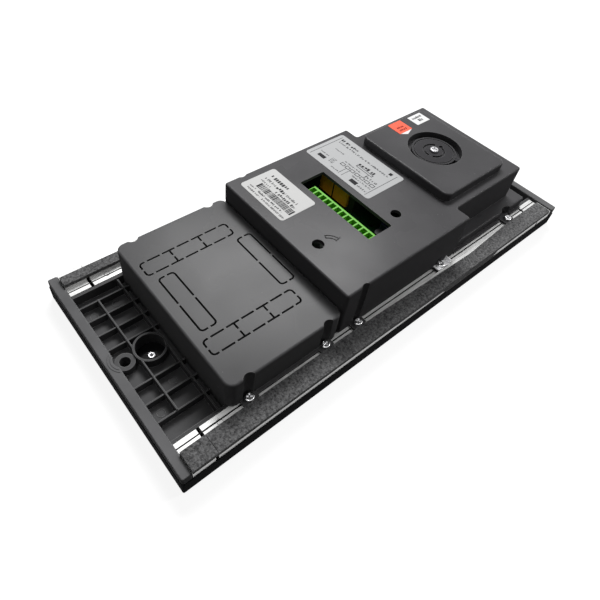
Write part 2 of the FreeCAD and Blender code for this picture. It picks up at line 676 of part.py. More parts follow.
def feet(spans, half_width):
    """Narrow feet along a cover's long sides, lying on the rail flanges."""
    return [box(s0, s1, *sorted((side * half_width, side * (half_width + FOOT_WIDTH))),
                FLANGE_TOP, FLANGE_TOP + FOOT_HEIGHT) for s0, s1 in spans for side in (-1, 1)]


def slot_ring(s0, s1, y0, y1, z0, z1):
    """A closed slot along a rounded rectangle."""
    half = SLOT_WIDTH / 2
    outer = slab(s0 - half, s1 + half, y0 - half, y1 + half, z0, z1, KNOCKOUT_CORNER + half)
    return outer.cut(slab(s0 + half, s1 - half, y0 + half, y1 - half, z0, z1, KNOCKOUT_CORNER - half))


def bridge(station, across, z0, z1):
    half = SLOT_BRIDGE / 2
    return box(station - half, station + half, across - half, across + half, z0, z1)


def knockout_row(across, z0, z1):
    """Three cells in a row, each edge left whole at its bridges."""
    start = KNOCKOUT_ROW_START
    end = start + KNOCKOUT_CELLS * KNOCKOUT_PITCH
    y0 = across - KNOCKOUT_ROW_WIDTH / 2
    y1 = across + KNOCKOUT_ROW_WIDTH / 2
    half = SLOT_WIDTH / 2
    dividers = [start + i * KNOCKOUT_PITCH for i in range(1, KNOCKOUT_CELLS)]
    cutter = slot_ring(start, end, y0, y1, z0, z1)
    cutter = cutter.fuse([box(s - half, s + half, y0, y1, z0, z1) for s in dividers])
    bridges = [bridge(s, across, z0, z1) for s in [start, end] + dividers]
    for i in range(KNOCKOUT_CELLS):
        for share in (0.22, 0.72):
            station = start + (i + share) * KNOCKOUT_PITCH
            bridges += [bridge(station, y, z0, z1) for y in (y0, y1)]
    return cutter.cut(bridges)


def knockout_long(station, z0, z1):
    """One long cell across the cover."""
    y1 = KNOCKOUT_LONG_LENGTH / 2
    middle = station + KNOCKOUT_LONG_WIDTH / 2
    cutter = slot_ring(station, station + KNOCKOUT_LONG_WIDTH, -y1, y1, z0, z1)
    bridges = [bridge(middle, y, z0, z1) for y in (-y1, y1)]
    bridges += [bridge(s, 0, z0, z1) for s in (station, station + KNOCKOUT_LONG_WIDTH)]
    return cutter.cut(bridges)


def button_bay_cover():
    half = HALF_WIDTH - BAY_COVER_INSET
    outer = slab(BAY_COVER_START, BAY_COVER_END, -half, half, FLANGE_TOP, BAY_COVER_TOP, BAY_CORNER)
    outer = outer.makeFillet(COVER_EDGE, edges_at(outer, BAY_COVER_TOP))
    ceiling = BAY_COVER_TOP - COVER_WALL
    inner = half - COVER_WALL
    cavity = box(BAY_COVER_START + COVER_WALL, BAY_COVER_END - COVER_WALL, -inner, inner,
                 FLANGE_TOP, ceiling)
    cavity = cavity.cut(recess_rods(BAY_SCREWS, RECESS_RADIUS + RECESS_WALL, FLANGE_TOP, ceiling))
    cover = outer.cut(cavity)
    cover = cover.cut(recess_rods(BAY_SCREWS, RECESS_RADIUS, LUG_TOP, BAY_COVER_TOP))
    tabs, holes = lugs(BAY_SCREWS, inner)
    skirt_half = TRAY_HALF_WIDTH - TRAY_WALL - TRAY_GAP
    skirt = box(BAY_COVER_START, BAY_COVER_START + COVER_WALL, -skirt_half, skirt_half,
                TRAY_FLOOR_TOP + TRAY_GAP, FLANGE_TOP)
    foot_span = (BAY_SCREWS[0] + LUG_HALF_LENGTH, BAY_SCREWS[1] - LUG_HALF_LENGTH)
    cover = cover.fuse(tabs + [skirt] + feet([foot_span], half)).cut(holes)
    slots = [knockout_row(y, ceiling, BAY_COVER_TOP) for y in (-KNOCKOUT_ROW_OFFSET, KNOCKOUT_ROW_OFFSET)]
    slots += [knockout_long(s, ceiling, BAY_COVER_TOP) for s in KNOCKOUT_LONG_STATIONS]
    return cover.cut(slots)


def main_outline(grow, z0, z1):
    """The deck's plan: the wide part and the narrower camera part."""
    wide = HALF_WIDTH - MAIN_COVER_INSET + grow
    narrow = HALF_WIDTH - CAMERA_BOX_INSET + grow
    shoulder = CAMERA_BOX_START + grow
    plan = [
        (MAIN_COVER_START - grow, -wide), (shoulder, -wide), (shoulder, -narrow),
        (CAMERA_BOX_END + grow, -narrow), (CAMERA_BOX_END + grow, narrow), (shoulder, narrow),
        (shoulder, wide), (MAIN_COVER_START - grow, wide),
    ]
    return plate_of(plan, z0, z1)


def main_cover():
    deck = main_outline(0, FLANGE_TOP, MAIN_COVER_TOP)
    upright = [e for e in deck.Edges if abs(e.Vertexes[0].Z - e.Vertexes[1].Z) > 1]
    deck = deck.makeFillet(COVER_CORNER / 2, upright)
    deck = deck.makeFillet(COVER_EDGE, edges_at(deck, MAIN_COVER_TOP))
    skirt_half = HALF_WIDTH - SKIRT_INSET
    skirt = slab(CAMERA_BOX_START - COVER_WALL, SKIRT_END, -skirt_half, skirt_half, FLANGE_TOP, SKIRT_TOP,
                 COVER_CORNER / 2)
    skirt = skirt.makeFillet(COVER_EDGE, edges_at(skirt, SKIRT_TOP))
    pad = slab(PAD_START, PAD_END, -PAD_HALF_WIDTH, PAD_HALF_WIDTH, MAIN_COVER_TOP - COVER_WALL, PAD_TOP,
               PAD_CORNER)
    pad = pad.makeFillet(COVER_EDGE, edges_at(pad, PAD_TOP))
    outer = deck.fuse([skirt, pad])
    ceiling = MAIN_COVER_TOP - COVER_WALL
    skirt_ceiling = SKIRT_TOP - COVER_WALL
    pad_half = PAD_HALF_WIDTH - COVER_WALL
    skirt_inner = skirt_half - COVER_WALL
    cavity = main_outline(-COVER_WALL, FLANGE_TOP, ceiling)
    cavity = cavity.cut(recess_rods(MAIN_SCREWS[:1], RECESS_RADIUS + RECESS_WALL, FLANGE_TOP, ceiling))
    low_wall = LOW_RECESS_RADIUS + RECESS_WALL
    cavity = cavity.cut(recess_rods(MAIN_SCREWS[1:], low_wall, FLANGE_TOP, LOW_RECESS_TOP + RECESS_WALL))
    skirt_cavity = box(CAMERA_BOX_START - COVER_WALL, SKIRT_END - COVER_WALL, -skirt_inner, skirt_inner,
                       FLANGE_TOP, skirt_ceiling)
    skirt_cavity = skirt_cavity.cut(recess_rods((SKIRT_SCREW,), SKIRT_RECESS_RADIUS + RECESS_WALL,
                                                FLANGE_TOP, skirt_ceiling))
    pad_cavity = box(PAD_START + COVER_WALL, PAD_END - COVER_WALL, -pad_half, pad_half,
                     ceiling, PAD_TOP - COVER_WALL)
    cover = outer.cut([cavity, skirt_cavity, pad_cavity])
    collar_bottom = TURRET_GROOVE_FLOOR - TURRET_FLOOR_THICKNESS
    collar = rod(CAMERA_STATION, 0, collar_bottom, PAD_TOP - COVER_WALL / 2, RECESS_RIM + RECESS_RIM_WALL)
    tabs, holes = lugs(MAIN_SCREWS, HALF_WIDTH - MAIN_COVER_INSET - COVER_WALL)
    skirt_tabs, skirt_holes = lugs((SKIRT_SCREW,), skirt_inner)
    cover = cover.cut(recess_rods(MAIN_SCREWS[:1], RECESS_RADIUS, LUG_TOP, MAIN_COVER_TOP))
    cover = cover.cut(recess_rods(MAIN_SCREWS[1:], LOW_RECESS_RADIUS, LUG_TOP, LOW_RECESS_TOP))
    cover = cover.cut(recess_rods((SKIRT_SCREW,), SKIRT_RECESS_RADIUS, LUG_TOP, SKIRT_TOP))
    posts = [rod(s, y, MAIN_BOARD_TOP, MAIN_COVER_TOP - COVER_WALL / 2, POST_RADIUS)
             for s, y in main_post_places()]
    foot_spans = [(CAMERA_BOX_START, SKIRT_SCREW - SKIRT_RECESS_RADIUS),
                  (SKIRT_SCREW + SKIRT_RECESS_RADIUS, SKIRT_END - COVER_CORNER)]
    cover = cover.fuse(tabs + skirt_tabs + feet(foot_spans, skirt_half) + posts + [collar])
    cuts = holes + skirt_holes
    cuts += [rod(s, y, MAIN_BOARD_TOP, MAIN_BOARD_TOP + BOARD_SCREW_REACH, BOARD_SCREW_SHANK)
             for s, y in main_post_places()]
    cuts.append(rod(CAMERA_STATION, 0, TURRET_GROOVE_FLOOR, PAD_TOP, RECESS_RIM))
    cuts.append(rod(CAMERA_STATION, 0, collar_bottom, PAD_TOP, TURRET_NECK + TURRET_PLAY))
    cuts.append(slab(WINDOW_START, WINDOW_END, WINDOW_NEAR, WINDOW_FAR, ceiling, MAIN_COVER_TOP,
                     WINDOW_CORNER))
    cuts.append(rod(VOLUME_STATION, VOLUME_ACROSS, ceiling, MAIN_COVER_TOP, VOLUME_HOLE))
    cuts.append(rod(TONE_STATION, TONE_ACROSS, ceiling, MAIN_COVER_TOP, TONE_HOLE))
    return cover.cut(cuts)


def cover_screws():
    screws = []
    for s in ALL_SCREWS:
        for side in (-1, 1):
            raised = CLIP_THICKNESS if s == MAIN_SCREWS[-1] and side < 0 else 0
            screws.append(pan_screw(s, side * SCREW_ACROSS, LUG_TOP + raised, SCREW_SHANK, SCREW_HEAD,
                                    SCREW_HEAD_HEIGHT, SCREW_LENGTH, 15 + s))
    return Part.makeCompound(screws)


def earth_clip():
    """A sheet clip under one screw head, with an upturned tab."""
    s = MAIN_SCREWS[-1]
    start = s - LUG_HALF_LENGTH + 0.4
    near = -HALF_WIDTH + LUG_TIP
    plate = box(start, start + CLIP_LENGTH, near, near + CLIP_WIDTH, LUG_TOP,
                LUG_TOP + CLIP_THICKNESS)
    tab = box(start + CLIP_LENGTH - CLIP_THICKNESS, start + CLIP_LENGTH, near, near + CLIP_WIDTH,
              LUG_TOP, LUG_TOP + CLIP_TAB)
    hole = rod(s, -SCREW_ACROSS, LUG_TOP, LUG_TOP + CLIP_THICKNESS, SCREW_SHANK + SCREW_HOLE_PLAY)
    return plate.fuse(tab).cut(hole).removeSplitter()


def cup_screw():
    """A socket screw in the front plate's boss, socket towards the back."""
    body = rod(CUP_STATION, 0, SOCKET_SKIN, SOCKET_SCREW_TOP, SOCKET_SCREW_RADIUS)
    corner = SOCKET_ACROSS_FLATS / math.sqrt(3)
    angles = [math.radians(60 * i) for i in range(6)]
    points = [FreeCAD.Vector(CUP_STATION - HALF_LENGTH + corner * math.cos(a), corner * math.sin(a),
                             SOCKET_SCREW_TOP - SOCKET_DEPTH) for a in angles]
    face = Part.Face(Part.makePolygon(points + points[:1]))
    return body.cut(face.extrude(FreeCAD.Vector(0, 0, SOCKET_DEPTH)))


def camera_turret():
    """The round disc seen from behind, its neck, its bridge and the camera's fork."""
    c = CAMERA_STATION
    disc = rod(c, 0, TURRET_DISC_BOTTOM, TURRET_DISC_TOP, TURRET_DISC_RADIUS)
    pointer = box(c, c + RECESS_RIM - TURRET_PLAY, -TURRET_POINTER_WIDTH / 2, TURRET_POINTER_WIDTH / 2,
                  TURRET_DISC_BOTTOM, TURRET_DISC_TOP - 0.4)
    pointer = turned(pointer, c, 0, TURRET_POINTER_ANGLE)
    neck = rod(c, 0, TURRET_BRIDGE_BOTTOM, TURRET_DISC_BOTTOM, TURRET_NECK)
    body = disc.fuse([pointer, neck])
    arms = [box(c - FORK_HALF_LENGTH, c + FORK_HALF_LENGTH, y, y + FORK_THICKNESS, FORK_BOTTOM,
                TURRET_BRIDGE_BOTTOM + 1) for y in (FORK_INNER, -FORK_INNER - FORK_THICKNESS)]
    body = body.fuse(arms)
    groove_floor = TURRET_DISC_TOP - TURRET_GROOVE_DEPTH
    hub = tube(c, 0, groove_floor, TURRET_DISC_TOP, TURRET_HUB_GROOVE_OUTER, TURRET_HUB_GROOVE_INNER)
    web = box(c, c + TURRET_DISC_RADIUS, -TURRET_WEB_WIDTH / 2, TURRET_WEB_WIDTH / 2, groove_floor,
              TURRET_DISC_TOP)
    webs = [turned(web, c, 0, angle) for angle in TURRET_WEB_ANGLES]
    hub = hub.cut(webs)
    rim = tube(c, 0, groove_floor, TURRET_DISC_TOP, TURRET_RIM_GROOVE_OUTER, TURRET_RIM_GROOVE_INNER)
    notch = rod(c + TURRET_HUB_GROOVE_OUTER, 0, groove_floor, TURRET_DISC_TOP, TURRET_NOTCH_RADIUS)
    trunnions = cross_rod(c, -TURRET_NECK - 2, TURRET_NECK + 2, TILT_HEIGHT, TRUNNION_RADIUS + TRUNNION_PLAY)
    screw_hole = rod(c, 0, TURRET_BRIDGE_BOTTOM, TURRET_DISC_TOP, SCREW_SHANK + TRUNNION_PLAY)
    core = tube(c, 0, TURRET_BRIDGE_BOTTOM + TURRET_WALL, TURRET_DISC_BOTTOM, TURRET_NECK - TURRET_WALL,
                TURRET_CORE_RADIUS)
    return body.cut([hub, rim, notch, trunnions, screw_hole, core])


def turret_screw():
    return pan_screw(CAMERA_STATION, 0, TURRET_DISC_TOP, SCREW_SHANK, TURRET_SCREW_RADIUS,
                     TURRET_SCREW_HEIGHT, TURRET_SCREW_LENGTH, 35)


def turret_ring():
    """The ring on the neck that keeps the turret in the cover."""
    top = TURRET_GROOVE_FLOOR - TURRET_FLOOR_THICKNESS - TURRET_PLAY
    return tube(CAMERA_STATION, 0, top - TURRET_RING_THICKNESS, top, TURRET_NECK + TURRET_RING_REACH,
                TURRET_NECK)


def camera_housing():
    barrel = rod(CAMERA_STATION, 0, CAMERA_BOTTOM, CAMERA_TOP, CAMERA_RADIUS)
    reach = FORK_INNER + FORK_THICKNESS
    pins = cross_rod(CAMERA_STATION, -reach, reach, TILT_HEIGHT, TRUNNION_RADIUS)
    body = barrel.fuse(pins)
    bore = rod(CAMERA_STATION, 0, CAMERA_BOTTOM, LENS_BOTTOM + LENS_LENGTH, LENS_RADIUS + LENS_FIT)
    light_path = rod(CAMERA_STATION, 0, LENS_BOTTOM + LENS_LENGTH, CAMERA_TOP, LENS_RADIUS * 0.7)
    return body.cut([bore, light_path])


def camera_lens():
    lens = rod(CAMERA_STATION, 0, LENS_BOTTOM, LENS_BOTTOM + LENS_LENGTH, LENS_RADIUS)
    return lens.makeFillet(0.8, edges_at(lens, LENS_BOTTOM))


def camera_board():
    half = CAMERA_BOARD_SIZE / 2
    return slab(CAMERA_STATION - half, CAMERA_STATION + half, -half, half, CAMERA_TOP,
                CAMERA_TOP + BOARD_THICKNESS, 1.0)


def camera_window():
    flange_top = FRONT_THICKNESS + CAMERA_WINDOW_FLANGE_THICKNESS
    pane = camera_window_outline(0, CAMERA_WINDOW_RECESS, flange_top)
    return pane.fuse(camera_window_outline(CAMERA_WINDOW_FLANGE, FRONT_THICKNESS, flange_top))


def drilled_board(s0, s1, half_width, bottom, places):
    board = slab(s0, s1, -half_width, half_width, bottom, bottom + BOARD_THICKNESS, 1.5)
    return board.cut([rod(s, y, bottom, bottom + BOARD_THICKNESS, BOARD_SCREW_SHANK + FIT_GAP)
                      for s, y in places])


def led_board():
    board = drilled_board(CAMERA_STATION - LED_BOARD_HALF_LENGTH, CAMERA_STATION + LED_BOARD_HALF_LENGTH,
                          LED_BOARD_HALF_WIDTH, LED_BOARD_BOTTOM, led_post_places())
    return board.cut(rod(CAMERA_STATION, 0, LED_BOARD_BOTTOM, LED_BOARD_TOP, LED_BOARD_HOLE))


def camera_leds():
    lamps = []
    for s in (CAMERA_STATION - LED_SPACING_ALONG, CAMERA_STATION + LED_SPACING_ALONG):
        for y in (-LED_SPACING_ACROSS, 0, LED_SPACING_ACROSS):
            across = y if y else 0.0
            lamp = rod(s, across, LED_BOTTOM, LED_BOARD_BOTTOM, LED_RADIUS)
            lamps.append(lamp.makeFillet(LED_RADIUS * 0.6, edges_at(lamp, LED_BOTTOM)))
    return Part.makeCompound(lamps)


def main_board():
    return drilled_board(MAIN_BOARD_START, MAIN_BOARD_END, MAIN_BOARD_HALF_WIDTH, MAIN_BOARD_BOTTOM,
                         main_post_places())


def button_board():
    return drilled_board(BUTTON_BOARD_START, BUTTON_BOARD_END, BUTTON_BOARD_HALF_WIDTH,
                         BUTTON_BOARD_BOTTOM, button_post_places())


def board_screw(station, across, seat):
    return pan_screw(station, across, seat, BOARD_SCREW_SHANK, BOARD_SCREW_HEAD, BOARD_SCREW_HEAD_HEIGHT,
                     BOARD_SCREW_LENGTH, 30)


def board_screws():
    screws = [board_screw(s, y, bottom + BOARD_THICKNESS) for s, y, bottom in tray_posts()]
    for s, y in main_post_places():
        screw = board_screw(s, y, MAIN_BOARD_BOTTOM)
        screw.rotate(FreeCAD.Vector(s - HALF_LENGTH, y, MAIN_BOARD_BOTTOM), FreeCAD.Vector(1, 0, 0), 180)
        screws.append(screw)
    return Part.makeCompound(screws)


def terminal_cell_centres():
    return [TERMINAL_NEAR + (i + 0.5) * TERMINAL_PITCH for i in range(TERMINAL_WAYS)]


def terminal_block():
    """A row of ways, each an open V on top, under one ridge."""
    end = TERMINAL_START + TERMINAL_WIDTH
    far = TERMINAL_NEAR + TERMINAL_WAYS * TERMINAL_PITCH
    block = box(TERMINAL_START, end, TERMINAL_NEAR, far, MAIN_BOARD_TOP, TERMINAL_TOP)
    half = (TERMINAL_PITCH - TERMINAL_DIVIDER) / 2
    floor = TERMINAL_TOP - TERMINAL_CELL_DEPTH
    cuts = []
    for y in terminal_cell_centres():
        vee = [(y - half, TERMINAL_TOP), (y + half, TERMINAL_TOP),
               (y + half * 0.8, floor), (y - half * 0.8, floor)]
        cuts.append(prism(vee, TERMINAL_START, end - TERMINAL_RIDGE))
    return block.cut(cuts)


def terminal_screws():
    floor = TERMINAL_TOP - TERMINAL_CELL_DEPTH
    station = TERMINAL_START + TERMINAL_WIDTH - TERMINAL_RIDGE - TERMINAL_SCREW_INSET
    top = floor + TERMINAL_SCREW_HEIGHT
    half = TERMINAL_SLOT / 2
    reach = TERMINAL_SCREW_RADIUS
    screws = []
    for y in terminal_cell_centres():
        head = rod(station, y, floor, top, TERMINAL_SCREW_RADIUS)
        slot = box(station - reach, station + reach, y - half, y + half, top - TERMINAL_SLOT, top)
        screws.append(head.cut(slot))
    return Part.makeCompound(screws)


def coil_block(grow):
    return box(COIL_START - grow, COIL_START + COIL_LENGTH + grow, COIL_NEAR - grow,
               COIL_NEAR + COIL_WIDTH + grow, MAIN_BOARD_TOP + COIL_LIFT, COIL_TOP)


def transformer_coil():
    coil = slab(COIL_START, COIL_START + COIL_LENGTH, COIL_NEAR, COIL_NEAR + COIL_WIDTH,
                MAIN_BOARD_TOP + COIL_LIFT, COIL_TOP, 1.2)
    return coil.makeFillet(0.6, edges_at(coil, COIL_TOP))


def transformer_core():
    core = box(COIL_START + CORE_SIDE, COIL_START + COIL_LENGTH - CORE_SIDE, COIL_NEAR - CORE_REACH,
               COIL_NEAR + COIL_WIDTH + CORE_REACH, MAIN_BOARD_TOP, COIL_TOP - CORE_DROP)
    return core.cut(coil_block(0))


def trimmer_body(station, across):
    half = TRIMMER_SIZE / 2
    top = MAIN_BOARD_TOP + TRIMMER_HEIGHT
    body = slab(station - half, station + half, across - half, across + half, MAIN_BOARD_TOP, top, 0.8)
    return body.cut(rod(station, across, top - ROTOR_DEPTH, top, ROTOR_RADIUS + ROTOR_PLAY))


def trimmer_rotor(station, across):
    top = MAIN_BOARD_TOP + TRIMMER_HEIGHT
    bottom = top - ROTOR_DEPTH + ROTOR_PLAY
    rise = top + ROTOR_RISE
    rotor = rod(station, across, bottom, rise, ROTOR_RADIUS)
    half = ROTOR_SLOT / 2
    slot = box(station - ROTOR_RADIUS, station + ROTOR_RADIUS, across - half, across + half,
               rise - ROTOR_SLOT_DEPTH, rise)
    return rotor.cut(turned(slot, station, across, 30))


def ring_of(profile, station):
    """A profile of radius and height, turned about an upright axis."""
    corners = [FreeCAD.Vector(station - HALF_LENGTH + r, 0, z) for r, z in profile]
    face = Part.Face(Part.makePolygon(corners + corners[:1]))
    return face.revolve(FreeCAD.Vector(station - HALF_LENGTH, 0, 0), FreeCAD.Vector(0, 0, 1), 360)


def speaker_frame():
    rim = TRAY_FLOOR_TOP + SPEAKER_RIM
    base = TRAY_FLOOR_TOP + BASKET_HEIGHT
    inner = SPEAKER_RADIUS - SPEAKER_RIM
    throat = BASKET_BOTTOM_RADIUS
    profile = [
        (inner - 1, TRAY_FLOOR_TOP), (SPEAKER_RADIUS, TRAY_FLOOR_TOP), (SPEAKER_RADIUS, rim),
        (inner, rim), (throat, base), (BASKET_HOLE, base), (BASKET_HOLE, base - BASKET_SHEET),
        (throat - BASKET_SHEET, base - BASKET_SHEET),
    ]
    return ring_of(profile, SPEAKER_STATION)


def speaker_cone():
    front = TRAY_FLOOR_TOP + 0.2
    neck = front + CONE_DEPTH
    rim = SPEAKER_APERTURE - 0.5
    profile = [(rim, front), (CONE_NECK, neck), (0, neck), (0, neck - CONE_SHEET),
               (CONE_NECK - 0.2, neck - CONE_SHEET), (rim - 1.6, front)]
    return ring_of(profile, SPEAKER_STATION)


def speaker_magnet():
    base = TRAY_FLOOR_TOP + BASKET_HEIGHT
    magnet = rod(SPEAKER_STATION, 0, base, base + MAGNET_HEIGHT, MAGNET_RADIUS)
    return magnet.makeFillet(0.6, edges_at(magnet, base + MAGNET_HEIGHT))


def microphone_boot():
    bottom = FRONT_THICKNESS
    boot = rod(MICROPHONE_STATION, 0, bottom, bottom + BOOT_HEIGHT, BOOT_RADIUS)
    pocket = rod(MICROPHONE_STATION, 0, bottom + BOOT_FRONT, bottom + BOOT_HEIGHT, MICROPHONE_RADIUS)
    return boot.cut([pocket, rod(MICROPHONE_STATION, 0, bottom, bottom + BOOT_FRONT, SOUND_HOLE)])


def microphone():
    bottom = FRONT_THICKNESS + BOOT_FRONT
    return rod(MICROPHONE_STATION, 0, bottom, bottom + MICROPHONE_HEIGHT, MICROPHONE_RADIUS)


def button_flange_top():
    return FRONT_THICKNESS + BUTTON_FLANGE_GAP + BUTTON_FLANGE_THICKNESS


def call_button(station):
    flange_bottom = FRONT_THICKNESS + BUTTON_FLANGE_GAP
    flange_top = button_flange_top()
    cap = button_outline(station, BUTTON_ACROSS, BUTTON_WIDTH, 0, BUTTON_RECESS, flange_top)
    cap = cap.makeFillet(0.3, edges_at(cap, BUTTON_RECESS))
    flange = button_outline(station, BUTTON_ACROSS, BUTTON_WIDTH, BUTTON_FLANGE, flange_bottom, flange_top)
    stem = rod(station, BUTTON_ACROSS, flange_top, flange_top + BUTTON_STEM_HEIGHT, BUTTON_STEM)
    return cap.fuse([flange, stem])


def switch_plunger(station):
    bottom = button_flange_top() + BUTTON_STEM_HEIGHT
    top = BUTTON_BOARD_BOTTOM - BUTTON_TRAVEL - FIT_GAP
    return rod(station, BUTTON_ACROSS, bottom, top, PLUNGER_RADIUS)


def tactile_switches():
    bottom = BUTTON_BOARD_BOTTOM - SWITCH_HEIGHT
    half = SWITCH_SIZE / 2
    switches = []
    for s in BUTTON_STATIONS:
        body = slab(s - half, s + half, BUTTON_ACROSS - half, BUTTON_ACROSS + half, bottom,
                    BUTTON_BOARD_BOTTOM, 0.5)
        bore = rod(s, BUTTON_ACROSS, bottom, BUTTON_BOARD_BOTTOM, PLUNGER_RADIUS + PLUNGER_PLAY)
        switches.append(body.cut(bore))
    return Part.makeCompound(switches)


def name_windows():
    flange_top = FRONT_THICKNESS + NAME_FLANGE_THICKNESS
    panes = []
    for s in BUTTON_STATIONS:
        pane = button_outline(s, NAME_ACROSS, NAME_WIDTH, 0, NAME_RECESS, flange_top)
        flange = button_outline(s, NAME_ACROSS, NAME_WIDTH, NAME_FLANGE, FRONT_THICKNESS, flange_top)
        panes.append(pane.fuse(flange))
    return Part.makeCompound(panes)


def name_cards():
    bottom = FRONT_THICKNESS + NAME_FLANGE_THICKNESS
    return Part.makeCompound([button_outline(s, NAME_ACROSS, NAME_WIDTH, NAME_FLANGE - CARD_MARGIN, bottom,
                                             bottom + CARD_THICKNESS) for s in BUTTON_STATIONS])


def light_guide():
    bottom = FRONT_THICKNESS + NAME_FLANGE_THICKNESS + CARD_THICKNESS
    return button_cutout(NAME_ACROSS, NAME_WIDTH, NAME_FLANGE, bottom, BUTTON_BOARD_BOTTOM)


def deck_label(stations, across, top, corner):
    """A stuck-on label, lying on a deck."""
    return slab(stations[0], stations[1], across[0], across[1], top, top + LABEL_THICKNESS, corner)


def build():
    """Every sub-part by name."""
    parts = {
        "front_plate": front_plate(),
        "rear_tray": rear_tray(),
        "button_bay_cover": button_bay_cover(),
        "main_cover": main_cover(),
        "cover_screws": cover_screws(),
        "earth_clip": earth_clip(),
        "cup_screw": cup_screw(),
        "camera_turret": camera_turret(),
        "turret_screw": turret_screw(),
        "turret_ring": turret_ring(),
        "camera_housing": camera_housing(),
        "camera_lens": camera_lens(),
        "camera_board": camera_board(),
        "camera_window": camera_window(),
        "led_board": led_board(),
        "camera_leds": camera_leds(),
        "main_board": main_board(),
        "button_board": button_board(),
        "board_screws": board_screws(),
        "terminal_block": terminal_block(),
        "terminal_screws": terminal_screws(),
        "transformer_coil": transformer_coil(),
        "transformer_core": transformer_core(),
        "volume_trimmer": trimmer_body(VOLUME_STATION, VOLUME_ACROSS),
        "volume_rotor": trimmer_rotor(VOLUME_STATION, VOLUME_ACROSS),
        "tone_trimmer": trimmer_body(TONE_STATION, TONE_ACROSS),
        "tone_rotor": trimmer_rotor(TONE_STATION, TONE_ACROSS),
        "speaker_frame": speaker_frame(),
        "speaker_cone": speaker_cone(),
        "speaker_magnet": speaker_magnet(),
        "microphone": microphone(),
        "microphone_boot": microphone_boot(),
        "tactile_switches": tactile_switches(),
        "light_guide": light_guide(),
        "name_windows": name_windows(),
        "name_cards": name_cards(),
        "label_left": deck_label(LABEL_LEFT_STATIONS, LABEL_LEFT_ACROSS, MAIN_COVER_TOP, LABEL_CORNER),
        "label_middle": deck_label(LABEL_MIDDLE_STATIONS, LABEL_MIDDLE_ACROSS, MAIN_COVER_TOP,
                                   LABEL_CORNER),
        "sticker_red": deck_label(STICKER_RED_STATIONS, STICKER_RED_ACROSS, PAD_TOP, STICKER_CORNER),
        "sticker_white": deck_label(STICKER_WHITE_STATIONS, STICKER_WHITE_ACROSS, PAD_TOP, STICKER_CORNER),
        "gasket_near": gasket_near(),
        "gasket_far": gasket_far(),
        "end_cap_left": end_cap_left(),
        "end_cap_right": end_cap_right(),
    }
    rails = {
        "rail": rail_near(),
        "rail_end_left": scribed_rail(END_START, RAIL_START - SEAM_GAP, END_SCRIBE_WIDTH),
        "rail_end_right": scribed_rail(RAIL_END + SEAM_GAP, END_STOP, END_SCRIBE_WIDTH),
    }
    for name, shape in rails.items():
        parts[name + "_near"] = shape
        parts[name + "_far"] = mirrored(shape)
    for number, station in enumerate(BUTTON_STATIONS, 1):
        parts["call_button_%d" % number] = call_button(station)
        parts["switch_plunger_%d" % number] = switch_plunger(station)
    return parts


def export(parts):
    os.makedirs("parts", exist_ok=True)
    for name, shape in parts.items():
        shape.exportStep("parts/%s.step" % name)


if __name__ == "__main__":
    export(build())
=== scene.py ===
import json
import math
import random

import bmesh
import bpy
from mathutils import Matrix, Vector


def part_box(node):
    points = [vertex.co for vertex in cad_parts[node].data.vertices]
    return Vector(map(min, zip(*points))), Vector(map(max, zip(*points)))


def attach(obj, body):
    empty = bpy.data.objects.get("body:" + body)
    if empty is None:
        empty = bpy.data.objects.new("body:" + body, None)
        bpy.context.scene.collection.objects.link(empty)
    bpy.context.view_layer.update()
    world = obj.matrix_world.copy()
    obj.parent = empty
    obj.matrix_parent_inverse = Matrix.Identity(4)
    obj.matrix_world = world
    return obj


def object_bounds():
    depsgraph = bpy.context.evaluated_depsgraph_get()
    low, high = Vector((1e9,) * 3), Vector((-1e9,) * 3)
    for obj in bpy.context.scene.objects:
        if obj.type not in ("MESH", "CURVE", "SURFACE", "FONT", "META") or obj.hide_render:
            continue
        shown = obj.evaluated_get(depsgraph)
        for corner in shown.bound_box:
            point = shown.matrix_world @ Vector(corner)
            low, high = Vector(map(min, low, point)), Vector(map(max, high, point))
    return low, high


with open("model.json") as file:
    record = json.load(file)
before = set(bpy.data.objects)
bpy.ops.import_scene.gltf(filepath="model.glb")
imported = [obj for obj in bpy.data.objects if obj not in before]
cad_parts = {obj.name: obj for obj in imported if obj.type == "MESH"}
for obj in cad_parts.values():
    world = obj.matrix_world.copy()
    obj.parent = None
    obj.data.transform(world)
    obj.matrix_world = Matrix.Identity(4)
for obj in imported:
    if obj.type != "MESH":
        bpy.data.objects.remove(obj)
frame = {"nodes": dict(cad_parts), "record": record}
cad_low, cad_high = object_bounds()
nodes = frame["nodes"]

# Places taken from the frame, in metres
MM = 0.001
HALF_LENGTH = cad_high[0]
DECK_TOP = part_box("label_left")[0][2]
PAD_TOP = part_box("sticker_red")[0][2]
BOARD_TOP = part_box("main_board")[1][2]
TRAY_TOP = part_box("speaker_frame")[0][2]
CAP_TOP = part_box("end_cap_left")[1][2]
COIL_LOW, COIL_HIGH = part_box("transformer_coil")
FLANGE_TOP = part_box("main_cover")[0][2]
SCREW_HEAD = 2.25 * MM
SCREW_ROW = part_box("cover_screws")[1][1] - SCREW_HEAD

# Thickness of printed marks and height of raised ones
INK = 0.03 * MM
RELIEF = 0.18 * MM


def along(station):
    """A station in millimetres from the button end, as X in metres."""
    return station * MM - HALF_LENGTH


# Materials

# Sockets of the Mix node, for two colours and for two plain values
COLOUR_A, COLOUR_B, COLOUR_OUT = 6, 7, 2
VALUE_A, VALUE_B, VALUE_OUT = 2, 3, 0

